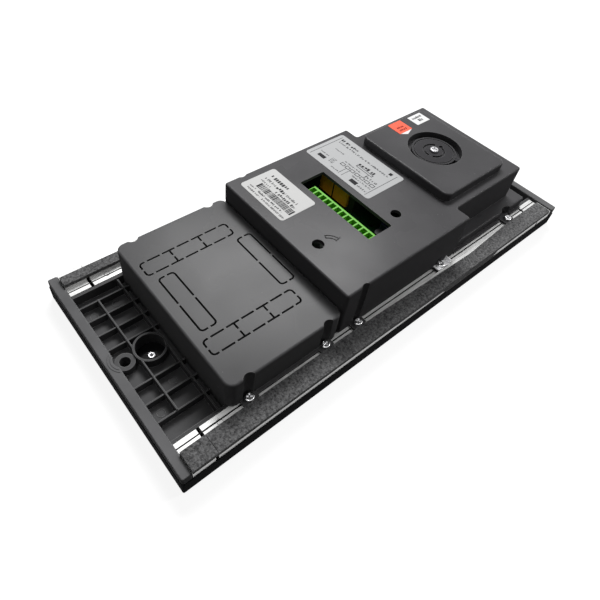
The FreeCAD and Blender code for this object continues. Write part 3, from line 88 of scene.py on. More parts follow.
# Moulded plastic: scales per metre, lengths in metres, levels from 0 to 1
SLOW_SCALE = 28
SPECK_SCALE = 260
SPECK_REACH = (0.03, 0.08)
SPECK_LEVEL = 0.5
CLUSTER_SCALE = 45
CLUSTER_RANGE = (0.5, 0.72)
# Pale edges: wear, and also a painted highlight along the edges
WEAR_AND_HIGHLIGHT_RADIUS = 0.0004
WEAR_AND_HIGHLIGHT_LEVEL = 0.45
WEAR_AND_HIGHLIGHT_TURN = (0.995, 0.9)
UPRIGHT_TO_LEVEL = (0.15, 0.5)
EDGE_SAMPLES = 4
GRAIN_DEPTH = 0.00005

# Other surfaces, in the same units
METAL_DEPTH = 0.00003
METAL_RELIEF = 0.15
METAL_EDGE = 0.0002
FOAM_CELLS = 1100
FOAM_GRIT = 820
FOAM_DARK = (0.025, 0.025, 0.026)
FOAM_PALE = (0.21, 0.21, 0.212)
FOAM_CONTRAST = (0.36, 0.66)
FOAM_ROUGH = (0.75, 0.92)
FOAM_DEPTH = 0.0003
HAZE_SCALE = 120
FIBRE_SCALE = 700
FIBRE_DEPTH = 0.00002
TRACK_SCALE = 260
TRACK_WIDTH = 0.09
TRACK_DEPTH = 0.00004
RESIST_SCALE = 400
RESIST_ROUGH = (0.25, 0.4)
RESIST_DARK = (0.002, 0.014, 0.007)
RESIST_PALE = (0.003, 0.018, 0.009)
TRACK_GREEN = (0.006, 0.04, 0.018)
WINDING_SCALE = 420
WINDING_WAVER = 0.6
TAPE_SCALE = 300
TAPE_ROUGH = (0.18, 0.35)
TAPE_DARK = (0.85, 0.2, 0.015)
TAPE_PALE = (1.0, 0.3, 0.03)
TAPE_DEPTH = 0.00006


class Nodes:
    """A small helper round one material's node tree."""

    def __init__(self, name):
        self.material = bpy.data.materials.new(name)
        self.material.use_nodes = True
        self.tree = self.material.node_tree
        self.shader = self.tree.nodes["Principled BSDF"]
        self.coords = self.add("ShaderNodeTexCoord").outputs["Object"]

    def add(self, kind, **values):
        node = self.tree.nodes.new(kind)
        for key, value in values.items():
            setattr(node, key, value)
        return node

    def link(self, a, b):
        self.tree.links.new(a, b)

    def feed(self, socket, source):
        """Lets the source set one of the shader's sockets."""
        self.link(source, self.shader.inputs[socket])

    def fix(self, socket, value):
        """Sets one of the shader's sockets to a constant."""
        self.shader.inputs[socket].default_value = value

    def noise(self, scale, detail=3.0, stretch=(1, 1, 1), roughness=0.5):
        mapping = self.add("ShaderNodeMapping")
        mapping.inputs["Scale"].default_value = stretch
        self.link(self.coords, mapping.inputs["Vector"])
        node = self.add("ShaderNodeTexNoise")
        node.inputs["Scale"].default_value = scale
        node.inputs["Detail"].default_value = detail
        node.inputs["Roughness"].default_value = roughness
        self.link(mapping.outputs["Vector"], node.inputs["Vector"])
        return node.outputs["Fac"]

    def cells(self, scale):
        node = self.add("ShaderNodeTexVoronoi")
        node.inputs["Scale"].default_value = scale
        self.link(self.coords, node.inputs["Vector"])
        return node.outputs["Distance"]

    def maths(self, operation, first, second):
        node = self.add("ShaderNodeMath", operation=operation)
        self.link(first, node.inputs[0])
        self.link(second, node.inputs[1])
        return node.outputs["Value"]

    def ranged(self, source, low, high, from_low=0.3, from_high=0.7):
        node = self.add("ShaderNodeMapRange")
        node.inputs["From Min"].default_value = from_low
        node.inputs["From Max"].default_value = from_high
        node.inputs["To Min"].default_value = low
        node.inputs["To Max"].default_value = high
        self.link(source, node.inputs["Value"])
        return node.outputs["Result"]

    def blend(self, factor, first, second):
        node = self.add("ShaderNodeMix", data_type="RGBA")
        self.link(factor, node.inputs["Factor"])
        node.inputs[COLOUR_A].default_value = (*first, 1)
        node.inputs[COLOUR_B].default_value = (*second, 1)
        return node.outputs[COLOUR_OUT]

    def pale_over(self, factor, tone, level):
        """The tone with a pale grey laid over it by the factor."""
        node = self.add("ShaderNodeMix", data_type="RGBA")
        self.link(factor, node.inputs["Factor"])
        self.link(tone, node.inputs[COLOUR_A])
        node.inputs[COLOUR_B].default_value = (level, level, level, 1)
        return node.outputs[COLOUR_OUT]

    def rounded(self, radius):
        """The normal as if the edges had this radius."""
        node = self.add("ShaderNodeBevel", samples=EDGE_SAMPLES)
        node.inputs["Radius"].default_value = radius
        return node.outputs["Normal"]

    def edges(self, radius, strength):
        """Up to the strength where the surface turns within the radius, and 0 elsewhere."""
        dot = self.add("ShaderNodeVectorMath", operation="DOT_PRODUCT")
        self.link(self.rounded(radius), dot.inputs[0])
        self.link(self.add("ShaderNodeNewGeometry").outputs["Normal"], dot.inputs[1])
        return self.ranged(dot.outputs["Value"], 0, strength, *WEAR_AND_HIGHLIGHT_TURN)

    def levelness(self):
        """1 where the surface lies level, 0 where it stands upright."""
        split = self.add("ShaderNodeSeparateXYZ")
        self.link(self.add("ShaderNodeTexCoord").outputs["Normal"], split.inputs[0])
        size = self.add("ShaderNodeMath", operation="ABSOLUTE")
        self.link(split.outputs["Z"], size.inputs[0])
        return self.ranged(size.outputs["Value"], 0, 1, *UPRIGHT_TO_LEVEL)

    def bump(self, height, strength, distance, edge=0.0):
        node = self.add("ShaderNodeBump")
        node.inputs["Strength"].default_value = strength
        node.inputs["Distance"].default_value = distance
        self.link(height, node.inputs["Height"])
        if edge:
            self.link(self.rounded(edge), node.inputs["Normal"])
        self.feed("Normal", node.outputs["Normal"])


def shade(colour, factor):
    return tuple(min(1.0, c * factor) for c in colour)


def moulded(name, colour, rough, grain=2600, relief=0.25, edge=0.0003, spec=0.5, spread=0.1, dust=0.0,
            wear_and_highlight=0.0, sides=0.0):
    """Moulded plastic: fine grain, slow changes in sheen and colour, specks of dust, and pale edges that are
    both wear and a painted highlight.

    Upright faces drag in the mould, so they may be given a rougher finish.
    """
    m = Nodes(name)
    slow = m.noise(SLOW_SCALE, detail=4)
    fine = m.noise(grain, detail=2)
    tone = m.blend(m.ranged(slow, 0, 1), shade(colour, 1 - spread), shade(colour, 1 + spread))
    if dust:
        specks = m.ranged(m.cells(SPECK_SCALE), dust, 0, *SPECK_REACH)
        clusters = m.ranged(m.noise(CLUSTER_SCALE), 0, 1, *CLUSTER_RANGE)
        tone = m.pale_over(m.maths("MULTIPLY", specks, clusters), tone, SPECK_LEVEL)
    # Painted highlight: edges that turn within the radius go pale; this also stands for wear
    if wear_and_highlight:
        tone = m.pale_over(m.edges(WEAR_AND_HIGHLIGHT_RADIUS, wear_and_highlight), tone, WEAR_AND_HIGHLIGHT_LEVEL)
    m.feed("Base Color", tone)
    sheen = m.ranged(slow, rough - 0.05, rough + 0.07)
    if sides:
        mix = m.add("ShaderNodeMix")
        m.link(m.levelness(), mix.inputs["Factor"])
        mix.inputs[VALUE_A].default_value = sides
        m.link(sheen, mix.inputs[VALUE_B])
        sheen = mix.outputs[VALUE_OUT]
    m.feed("Roughness", sheen)
    m.fix("Specular IOR Level", spec)
    m.bump(fine, relief, GRAIN_DEPTH, edge)
    return m.material


def metal(name, colour, rough, stretch=(1, 1, 1), scale=900, spread=0.08, sheen=0.06):
    """Bare or plated metal with drawn lines when stretched."""
    m = Nodes(name)
    lines = m.noise(scale, stretch=stretch)
    tone = m.blend(m.ranged(lines, 0, 1), shade(colour, 1 - spread), shade(colour, 1 + spread))
    m.feed("Base Color", tone)
    m.fix("Metallic", 1.0)
    m.feed("Roughness", m.ranged(lines, rough - sheen, rough + sheen))
    m.bump(lines, METAL_RELIEF, METAL_DEPTH, METAL_EDGE)
    return m.material


def foam_tape(name):
    """Black cell foam: pits and pale specks about a millimetre across."""
    m = Nodes(name)
    pits = m.cells(FOAM_CELLS)
    grit = m.noise(FOAM_GRIT, detail=5, roughness=0.75)
    m.feed("Base Color", m.blend(m.ranged(grit, 0, 1, *FOAM_CONTRAST), FOAM_DARK, FOAM_PALE))
    m.feed("Roughness", m.ranged(grit, *FOAM_ROUGH))
    m.fix("Specular IOR Level", 0.2)
    m.bump(m.maths("ADD", pits, grit), strength=0.7, distance=FOAM_DEPTH)
    return m.material


def glassy(name, colour, rough, alpha):
    m = Nodes(name)
    haze = m.noise(HAZE_SCALE)
    m.feed("Base Color", m.blend(m.ranged(haze, 0, 1), shade(colour, 0.94), shade(colour, 1.04)))
    m.feed("Roughness", m.ranged(haze, rough, rough + 0.05))
    m.fix("Alpha", alpha)
    return m.material


def printed_paper(name, colour, rough=0.55):
    m = Nodes(name)
    fibre = m.noise(FIBRE_SCALE, detail=4, stretch=(1, 3, 1))
    m.feed("Base Color", m.blend(m.ranged(fibre, 0, 1), shade(colour, 0.95), shade(colour, 1.03)))
    m.feed("Roughness", m.ranged(fibre, rough - 0.05, rough + 0.08))
    m.fix("Specular IOR Level", 0.3)
    m.bump(fibre, strength=0.1, distance=FIBRE_DEPTH)
    return m.material


def circuit_board(name):
    """Green solder resist with paler copper tracks under it."""
    m = Nodes(name)
    tracks = m.add("ShaderNodeTexBrick")
    tracks.inputs["Scale"].default_value = TRACK_SCALE
    tracks.inputs["Mortar Size"].default_value = TRACK_WIDTH
    for socket, colour in (("Color1", RESIST_DARK), ("Color2", RESIST_PALE), ("Mortar", TRACK_GREEN)):
        tracks.inputs[socket].default_value = (*colour, 1)
    m.link(m.coords, tracks.inputs["Vector"])
    m.feed("Base Color", tracks.outputs["Color"])
    m.feed("Roughness", m.ranged(m.noise(RESIST_SCALE), *RESIST_ROUGH))
    m.bump(tracks.outputs["Fac"], strength=0.3, distance=TRACK_DEPTH)
    return m.material


def wound_tape(name):
    """Amber polyimide tape with the windings showing under it."""
    m = Nodes(name)
    wave = m.add("ShaderNodeTexWave", bands_direction="Y")
    wave.inputs["Scale"].default_value = WINDING_SCALE
    wave.inputs["Distortion"].default_value = WINDING_WAVER
    m.link(m.coords, wave.inputs["Vector"])
    m.feed("Base Color", m.blend(wave.outputs["Fac"], TAPE_DARK, TAPE_PALE))
    m.feed("Roughness", m.ranged(m.noise(TAPE_SCALE), *TAPE_ROUGH))
    m.fix("Specular IOR Level", 0.25)
    m.bump(wave.outputs["Fac"], strength=0.25, distance=TAPE_DEPTH)
    return m.material


def ink(name, colour):
    return moulded(name, colour, rough=0.6, relief=0.05, edge=0, spec=0.1)


LOOKS = {name: make(name, **values) for name, make, values in (
    ("shell_black", moulded, dict(colour=(0.012, 0.012, 0.013), rough=0.2, relief=0.08, spec=0.05,
                                  sides=1.0)),
    ("cap_black", moulded, dict(colour=(0.13, 0.13, 0.133), rough=0.48, relief=0.35, spec=0.06, spread=0.3,
                                dust=0.3, sides=0.9)),
    ("tray_black", moulded, dict(colour=(0.08, 0.08, 0.082), rough=0.35, relief=0.2, spec=0.06, spread=0.3,
                                 dust=0.4, wear_and_highlight=0.5, sides=0.9)),
    ("cover_grey", moulded, dict(colour=(0.085, 0.085, 0.087), rough=0.26, relief=0.22, edge=0.00015,
                                 spec=0.09, dust=0.5, wear_and_highlight=0.3, sides=0.9)),
    ("cover_black", moulded, dict(colour=(0.068, 0.067, 0.07), rough=0.26, relief=0.22, edge=0.0002,
                                  spec=0.09, dust=0.4, wear_and_highlight=0.3, sides=0.9)),
    ("turret_black", moulded, dict(colour=(0.035, 0.034, 0.037), rough=0.3, relief=0.2, spec=0.06, wear_and_highlight=0.3,
                                   sides=0.9)),
    ("bright_steel", metal, dict(colour=(0.72, 0.72, 0.73), rough=0.2)),
    ("dull_steel", metal, dict(colour=(0.42, 0.42, 0.43), rough=0.3)),
    ("rail_aluminium", metal, dict(colour=(0.46, 0.46, 0.456), rough=0.5, stretch=(0.6, 14, 14), scale=260,
                                   spread=0.2, sheen=0.04)),
    ("foam", foam_tape, dict()),
    ("boot_rubber", moulded, dict(colour=(0.02, 0.02, 0.02), rough=0.75, spec=0.2)),
    ("lens_glass", glassy, dict(colour=(0.02, 0.025, 0.05), rough=0.04, alpha=1.0)),
    ("smoked_glass", glassy, dict(colour=(0.012, 0.012, 0.014), rough=0.05, alpha=0.86)),
    ("clear_window", glassy, dict(colour=(0.86, 0.88, 0.9), rough=0.06, alpha=0.3)),
    ("lamp_clear", glassy, dict(colour=(0.82, 0.82, 0.76), rough=0.1, alpha=0.7)),
    ("board_green", circuit_board, dict()),
    ("terminal_green", moulded, dict(colour=(0.13, 0.47, 0.03), rough=0.4, relief=0.1, spec=0.2)),
    ("tape_orange", wound_tape, dict()),
    ("ferrite", moulded, dict(colour=(0.02, 0.019, 0.019), rough=0.6, grain=1400, relief=0.5, spec=0.1)),
    ("trimmer_blue", moulded, dict(colour=(0.008, 0.014, 0.04), rough=0.45, spec=0.2)),
    ("guide_white", moulded, dict(colour=(0.72, 0.72, 0.7), rough=0.4, relief=0.1, spread=0.04)),
    ("cone_paper", printed_paper, dict(colour=(0.03, 0.03, 0.03), rough=0.8)),
    ("switch_black", moulded, dict(colour=(0.02, 0.02, 0.02), rough=0.5, spec=0.2)),
    ("button_metal", metal, dict(colour=(0.62, 0.62, 0.64), rough=0.28, stretch=(20, 1, 1), scale=260)),
    ("label_paper", printed_paper, dict(colour=(0.57, 0.57, 0.565))),
    ("label_silver", printed_paper, dict(colour=(0.42, 0.425, 0.43), rough=0.5)),
    ("sticker_orange", printed_paper, dict(colour=(0.9, 0.11, 0.05))),
)}
DARK_INK = ink("dark_ink", (0.015, 0.015, 0.017))
PALE_INK = ink("pale_ink", (0.05, 0.052, 0.055))
RED_INK = ink("red_ink", (0.18, 0.015, 0.01))
WHITE_PAPER = printed_paper("white_paper", (0.78, 0.78, 0.78))
# Painted shade: a near-black finish for strips laid where grooves, cuts and gaps are in shade
GROOVE_SHADE = moulded("painted_groove_shade", (0.012, 0.012, 0.012), rough=0.7, relief=0.1, edge=0, spec=0.05)
# Painted shade: the raised arrow is darker than the deck it is moulded in
ARROW_SHADE_DARK = moulded("arrow_painted_shade", (0.04, 0.04, 0.04), rough=0.4, spec=0.1)
CERAMIC_TAN = moulded("ceramic_tan", (0.35, 0.2, 0.08), rough=0.4)
CLIP_STEEL = metal("clip_steel", (0.85, 0.85, 0.86), rough=0.5)

for part in frame["record"]["subparts"]:
    target = nodes[part["node"]]
    target.data.materials.clear()
    target.data.materials.append(LOOKS[part["material_slot"]])

# Single nodes whose finish differs from the rest of their slot
for name, look in (("cup_screw", LOOKS["dull_steel"]), ("turret_screw", LOOKS["dull_steel"]),
                   ("earth_clip", CLIP_STEEL), ("sticker_white", WHITE_PAPER)):
    nodes[name].data.materials[0] = look


# Mesh helpers


def mesh_piece(name, build, material, body="panel"):
    """A new mesh whose faces come from build(bm); it rides on a CAD body."""
    data = bpy.data.meshes.new(name)
    bm = bmesh.new()
    build(bm)
    bm.to_mesh(data)
    bm.free()
    piece = bpy.data.objects.new(name, data)
    bpy.context.collection.objects.link(piece)
    data.materials.append(material)
    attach(piece, body)
    return piece


def add_box(bm, low, high):
    size = [high[i] - low[i] for i in range(3)]
    middle = [(high[i] + low[i]) / 2 for i in range(3)]
    matrix = Matrix.Translation(middle) @ Matrix.Diagonal((*size, 1))
    bmesh.ops.create_cube(bm, size=1, matrix=matrix)


def add_rod(bm, x, y, z0, z1, radius):
    matrix = Matrix.Translation((x, y, (z0 + z1) / 2))
    bmesh.ops.create_cone(bm, cap_ends=True, segments=24, radius1=radius, radius2=radius,
                          depth=z1 - z0, matrix=matrix)


def add_arc(bm, centre, inner, outer, z0, z1, start, end, steps=24):
    """A flat ring segment with the given thickness."""
    rings = []
    for i in range(steps + 1):
        a = math.radians(start + (end - start) * i / steps)
        c, s = math.cos(a), math.sin(a)
        rings.append([bm.verts.new((centre[0] + r * c, centre[1] + r * s, z))
                      for r, z in ((inner, z0), (outer, z0), (outer, z1), (inner, z1))])
    for a, b in zip(rings, rings[1:]):
        for i in range(4):
            j = (i + 1) % 4
            bm.faces.new((a[i], b[i], b[j], a[j]))
    bm.faces.new(rings[0])
    bm.faces.new(rings[-1][::-1])
    bmesh.ops.recalc_face_normals(bm, faces=bm.faces)


# Printed marks, in millimetres on each label

# Stroke weights, and the line of a drawn box
PLAIN, FIRM, HEAVY, BOLD = 0.55, 0.7, 0.8, 0.9
DRAWN_LINE = 0.4

# Widths and heights of one mark as shares of its row's weight and height, then the gap after it
MARK_WIDTH = (0.42, 0.8)
MARK_RISES = (0.5, 0.3, 0.5, 0.15)
MARK_DROPS = (0.5, 0.5, 0.25)
MARK_GAPS = (0.18, 0.24, 0.3, 0.75)

# Heights, indents and gaps of the marks in a column, and the least room left for one more
COLUMN_HEIGHT = (0.6, 1.2)
COLUMN_INDENT = (0, 0.35)
COLUMN_GAP = (0.35, 0.6)
COLUMN_REST = 0.4

# Rows of marks: from, to, middle, height and weight
LEFT_ROWS = (
    (4.5, 18.6, 5.2, 2.1, BOLD), (3.9, 12.6, 8.9, 1.6, PLAIN), (13.3, 20.2, 8.9, 2.0, BOLD),
    (21.4, 29.6, 8.9, 1.6, PLAIN), (3.6, 11.4, 11.8, 1.3, PLAIN), (16.1, 31.1, 11.8, 1.8, FIRM),
    (3.6, 8.0, 19.1, 1.1, PLAIN), (10.2, 29.6, 19.1, 1.3, HEAVY), (3.9, 14.3, 21.4, 1.2, PLAIN),
    (16.1, 33.8, 21.4, 1.2, PLAIN),
)
MIDDLE_HEAD_ROW = (3.9, 17.3, 4.0, 1.9, BOLD)
MIDDLE_TITLE_ROW = (26.2, 37.8, 11.6, 2.2, BOLD)
MIDDLE_HEAD_BLOCK = ((42.0, 44.1), (2.6, 4.8))
MIDDLE_BLOCKS = (((5.8, 11.3), (23.6, 26.1)), ((33.0, 38.1), (24.7, 27.5)))
FINE_ROWS = (
    (4.5, 43.6, 6.8, 1.4, PLAIN), (7.9, 14.8, 13.3, 1.1, PLAIN), (20.0, 32.6, 17.1, 1.1, PLAIN),
    (36.0, 44.4, 16.9, 1.5, PLAIN), (31.4, 45.4, 22.9, 1.1, PLAIN), (39.0, 45.4, 26.5, 1.3, PLAIN),
    (4.5, 11.0, 21.5, 1.0, PLAIN), (18.6, 24.0, 26.8, 1.0, PLAIN),
)
FINE_BLOCK_ROWS = tuple((13.7, 16.9, 20.8 + i * 1.2, 0.9, PLAIN) for i in range(4))

# The bar field of the left label: its height, its dark ends, and the bars and gaps between them
BARS_DOWN = (13.3, 17.5)
BARS_ENDS = ((6.1, 7.3), (32.6, 33.6))
BARS_RIGHT = (7.6, 32.2)
BAR_WIDTHS = (0.3, 0.3, 0.55, 0.8)
BAR_GAPS = (0.3, 0.3, 0.55)

# The diagram on the middle label: a wide box, a row of small boxes, leaders and two side rules
WIDE_BOX = ((26.3, 38.6), (13.0, 14.9))
SMALL_BOXES, SMALL_BOX_START, SMALL_BOX_PITCH, SMALL_BOX_WIDTH = 7, 19.6, 3.8, 3.0
SMALL_BOX_DOWN = (18.8, 21.2)
LEADER_LINE = 0.3
LEADERS_BELOW = ((24.8, (21.2, 27.6)), (27.3, (21.2, 27.6)))
LEADER_ABOVE = (36.2, (14.9, 18.8))
SIDE_RULES = ((2.3, (2.2, 28.6)), (46.5, (2.2, 28.6)))

# Columns of marks on the two stickers
WHITE_COLUMNS = (((1.7, 3.5), (1.8, 9.6)), ((4.4, 6.8), (3.8, 7.6)))
RED_COLUMNS = (((4.3, 6.1), (3.0, 8.9)), ((6.9, 8.6), (2.6, 8.6)))

# The white corner beside the red sticker: its inset at the ends, and its tip
CORNER_INSET = 0.4 * MM
CORNER_TIP = (4.4 * MM, -2.4 * MM)


class Page:
    """A label as a page: millimetres to the right of its left edge and down from its head."""

    def __init__(self, bm, node, seed):
        low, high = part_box(node)
        self.head = high[0]
        self.left = high[1]
        self.top = high[2]
        self.bm = bm
        self.rng = random.Random(seed)

    def block(self, right, down):
        add_box(self.bm, (self.head - down[1] * MM, self.left - right[1] * MM, self.top),
                (self.head - down[0] * MM, self.left - right[0] * MM, self.top + INK))

    def frame(self, right, down):
        """The four sides of a drawn box."""
        self.block(right, (down[0], down[0] + DRAWN_LINE))
        self.block(right, (down[1] - DRAWN_LINE, down[1]))
        self.block((right[0], right[0] + DRAWN_LINE), down)
        self.block((right[1] - DRAWN_LINE, right[1]), down)

    def rule(self, right, down):
        """A thin line down the page."""
        self.block((right, right + LEADER_LINE), down)

    def marks(self, start, end, middle, height, weight):
        """A row of plain marks: upright strokes and half-height dashes."""
        place = start
        while place < end:
            width = self.rng.uniform(*MARK_WIDTH) * weight * height
            rise = self.rng.choice(MARK_RISES)
            drop = self.rng.choice(MARK_DROPS)
            self.block((place, min(place + width, end)), (middle - rise * height, middle + drop * height))
            place += width + self.rng.choice(MARK_GAPS) * height

    def column(self, right, down):
        """Marks stacked down the page."""
        place = down[0]
        while place < down[1] - COLUMN_REST:
            height = self.rng.uniform(*COLUMN_HEIGHT)
            start = right[0] + self.rng.uniform(*COLUMN_INDENT) * (right[1] - right[0])
            self.block((start, right[1]), (place, min(place + height, down[1])))
            place += height + self.rng.uniform(*COLUMN_GAP)


def left_label_print(bm):
    page = Page(bm, "label_left", seed=4)
    for row in LEFT_ROWS:
        page.marks(*row)
    for right in BARS_ENDS:
        page.block(right, BARS_DOWN)


def left_label_bars(bm):
    """The bar field between the two dark end bars."""
    page = Page(bm, "label_left", seed=5)
    place, end = BARS_RIGHT
    while place < end:
        width = page.rng.choice(BAR_WIDTHS)
        page.block((place, place + width), BARS_DOWN)
        place += width + page.rng.choice(BAR_GAPS)


def middle_label_print(bm):
    page = Page(bm, "label_middle", seed=9)
    page.marks(*MIDDLE_HEAD_ROW)
    page.block(*MIDDLE_HEAD_BLOCK)
    page.marks(*MIDDLE_TITLE_ROW)
    for right, down in MIDDLE_BLOCKS:
        page.block(right, down)


def middle_label_diagram(bm):
    """Fine marks, boxes and leader lines."""
    page = Page(bm, "label_middle", seed=12)
    for row in FINE_ROWS + FINE_BLOCK_ROWS:
        page.marks(*row)
    page.frame(*WIDE_BOX)
    for i in range(SMALL_BOXES):
        start = SMALL_BOX_START + i * SMALL_BOX_PITCH
        page.frame((start, start + SMALL_BOX_WIDTH), SMALL_BOX_DOWN)
    for right, down in (*LEADERS_BELOW, LEADER_ABOVE, *SIDE_RULES):
        page.rule(right, down)


def white_sticker_print(bm):
    page = Page(bm, "sticker_white", seed=7)
    for right, down in WHITE_COLUMNS:
        page.column(right, down)


def red_sticker_print(bm):
    page = Page(bm, "sticker_red", seed=2)
    for right, down in RED_COLUMNS:
        page.column(right, down)


def red_sticker_corner(bm):
    """The lifted white backing that shows beside the red sticker."""
    low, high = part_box("sticker_red")
    plan = ((high[0] - CORNER_INSET, low[1]), (low[0] + CORNER_INSET, low[1]),
            (low[0] + CORNER_TIP[0], low[1] + CORNER_TIP[1]))
    lower = [bm.verts.new((x, y, PAD_TOP)) for x, y in plan]
    upper = [bm.verts.new((x, y, PAD_TOP + 2 * INK)) for x, y in plan]
    bm.faces.new(lower)
    bm.faces.new(upper)
    for i in range(3):
        j = (i + 1) % 3
        bm.faces.new((lower[i], lower[j], upper[j], upper[i]))
    bmesh.ops.recalc_face_normals(bm, faces=bm.faces)


# Raised marks, and painted shade in grooves and seams, in millimetres and degrees

# The turn arrow: its centre, then each stroke's inner and outer radius, start, end and steps
ARROW_CENTRE = (111.6, -19.4)
ARROW_LINE = 0.45
ARROW_STROKES = (
    (5.6, 5.6 + ARROW_LINE, 12, 66, 24), (7.4, 7.4 + ARROW_LINE, 12, 66, 24), (5.6, 7.8, 63, 67, 4),
    (5.0, 8.6, 9, 12, 4),
)
EJECTOR_PLACES = ((22.3, 34.8), (21.7, 16.8), (22.1, -18.5), (9.8, -29.0), (10.0, 33.4))
EJECTOR_RADII = (1.7, 2.05)
EJECTOR_STEPS = 32
SWELL_INSET = 9.0
SWELL_LINE = 0.5
SWELL_RINGS = ((6.2, 44), (7.4, 50))
GROOVE_HALF_WIDTH = 0.3
GROOVE_OFFSET = 0.1
SEAM_HALF_WIDTH = 0.12
SEAM_OFFSET = 0.4
SEAM_REACH = (0.1, 9.0)
COIL_GAP_HALF_WIDTH = 0.45


def deck_arrow(bm):
    """A raised turn arrow beside the trimmer hole, darker than the deck as painted shade of its raised lines.
    """
    centre = (along(ARROW_CENTRE[0]), ARROW_CENTRE[1] * MM)
    for inner, outer, start, end, steps in ARROW_STROKES:
        add_arc(bm, centre, inner * MM, outer * MM, DECK_TOP, DECK_TOP + RELIEF, start, end, steps)


def ejector_marks(bm):
    inner, outer = EJECTOR_RADII
    for s, y in EJECTOR_PLACES:
        add_arc(bm, (along(s), y * MM), inner * MM, outer * MM, TRAY_TOP, TRAY_TOP + RELIEF / 2, 0, 360,
                EJECTOR_STEPS)


def cap_swell(bm):
    """Two raised arcs on each end cap, round the fixing boss."""
    for side, turn in ((-1, 180), (1, 0)):
        centre = (side * (HALF_LENGTH - SWELL_INSET * MM), 0)
        for outer, reach in SWELL_RINGS:
            add_arc(bm, centre, (outer - SWELL_LINE) * MM, outer * MM, CAP_TOP - RELIEF, CAP_TOP + RELIEF,
                    turn - reach, turn + reach)


def rail_groove_shade(bm):
    """Painted shade: a black strip on each flange along the screw groove, where the groove's shade falls; it
    runs under the screw lugs.
    """
    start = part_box("rail_end_left_near")[0][0]
    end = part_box("rail_end_right_near")[1][0]
    half = GROOVE_HALF_WIDTH * MM
    for side in (-1, 1):
        middle = side * (SCREW_ROW - GROOVE_OFFSET * MM)
        add_box(bm, (start, middle - half, FLANGE_TOP), (end, middle + half, FLANGE_TOP + INK))


def gasket_cut_shade(bm):
    """Painted shade: a black strip on the near foam where the shade of its cut falls, in line with the gap
    between the rails.
    """
    low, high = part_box("gasket_near")
    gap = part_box("rail_near")[0][0] - SEAM_OFFSET * MM
    half = SEAM_HALF_WIDTH * MM
    near, far = SEAM_REACH
    add_box(bm, (gap - half, low[1] + near * MM, high[2]), (gap + half, low[1] + far * MM, high[2] + INK))


def coil_gap_shade(bm):
    """Painted shade: black strips on the winding's side and top where the shade of the gap between its two
    halves falls.
    """
    middle = (COIL_LOW[1] + COIL_HIGH[1]) / 2
    half = COIL_GAP_HALF_WIDTH * MM
    add_box(bm, (COIL_LOW[0] - INK, middle - half, COIL_LOW[2]), (COIL_LOW[0], middle + half, COIL_HIGH[2]))
    add_box(bm, (COIL_LOW[0], middle - half, COIL_HIGH[2]), (COIL_HIGH[0], middle + half, COIL_HIGH[2] + INK))


# Parts on the main board, in millimetres

# Packages: stations, places across and height
PACKAGES = (((140.6, 145.4), (-16.5, -9.5), 1.8), ((140.4, 142.6), (-23.5, -20.5), 1.2))
CAPACITOR_PLACE = (145.4, -22.8)
CAPACITOR_RADIUS = 2.5
CAPACITOR_HEIGHT = 9
LEGS = 6
LEG_STATIONS = (139.9, 145.4)
LEG_START = -16.0
LEG_PITCH = 1.2
LEG_SIZE = (0.7, 0.5, 0.6)
CHIPS = 7
CHIP_SEED = 11
CHIP_STATIONS = (139.4, 146.2)
CHIP_START = -7.8
CHIP_PITCH = 2.3
CHIP_SIZE = (0.8, 1.3, 0.7)
CHIPS_ASIDE = (-17.5, -8.5)
ASIDE_STATIONS = (146.6, 139.0)


def add_part(bm, station, across, size):
    """A box that stands on the main board, from its corner nearest the button end."""
    length, width, height = size
    add_box(bm, (along(station), across * MM, BOARD_TOP),
            (along(station + length), (across + width) * MM, BOARD_TOP + height * MM))


def board_parts_black(bm):
    for stations, across, height in PACKAGES:
        add_box(bm, (along(stations[0]), across[0] * MM, BOARD_TOP),
                (along(stations[1]), across[1] * MM, BOARD_TOP + height * MM))
    station, across = CAPACITOR_PLACE
    add_rod(bm, along(station), across * MM, BOARD_TOP, BOARD_TOP + CAPACITOR_HEIGHT * MM,
            CAPACITOR_RADIUS * MM)


def board_parts_bright(bm):
    """The legs on both sides of the larger package."""
    for i in range(LEGS):
        for station in LEG_STATIONS:
            add_part(bm, station, LEG_START + i * LEG_PITCH, LEG_SIZE)


def board_parts_tan(bm):
    """Small chips in a loose column; those beside the larger package stand aside by turns."""
    rng = random.Random(CHIP_SEED)
    for i in range(CHIPS):
        station = rng.uniform(*CHIP_STATIONS)
        across = CHIP_START - i * CHIP_PITCH
        if CHIPS_ASIDE[0] < across < CHIPS_ASIDE[1]:
            station = ASIDE_STATIONS[i % 2]
        add_part(bm, station, across, CHIP_SIZE)


for build, material, slot in (
    (left_label_print, DARK_INK, "label_paper"),
    (left_label_bars, DARK_INK, "label_paper"),
    (middle_label_print, DARK_INK, "label_silver"),
    (middle_label_diagram, PALE_INK, "label_silver"),
    (white_sticker_print, DARK_INK, "label_paper"),
    (red_sticker_print, RED_INK, "sticker_orange"),
    (red_sticker_corner, WHITE_PAPER, "sticker_orange"),
    (deck_arrow, ARROW_SHADE_DARK, "cover_black"),
    (ejector_marks, LOOKS["tray_black"], "tray_black"),
    (cap_swell, LOOKS["cap_black"], "cap_black"),
    (rail_groove_shade, GROOVE_SHADE, "rail_aluminium"),
    (gasket_cut_shade, GROOVE_SHADE, "foam"),
    (board_parts_black, LOOKS["switch_black"], "switch_black"),
    (board_parts_bright, LOOKS["dull_steel"], "dull_steel"),
    (board_parts_tan, CERAMIC_TAN, "board_green"),
    (coil_gap_shade, GROOVE_SHADE, "tape_orange"),
):
    mesh_piece(build.__name__, build, material)


# Stage, light and camera

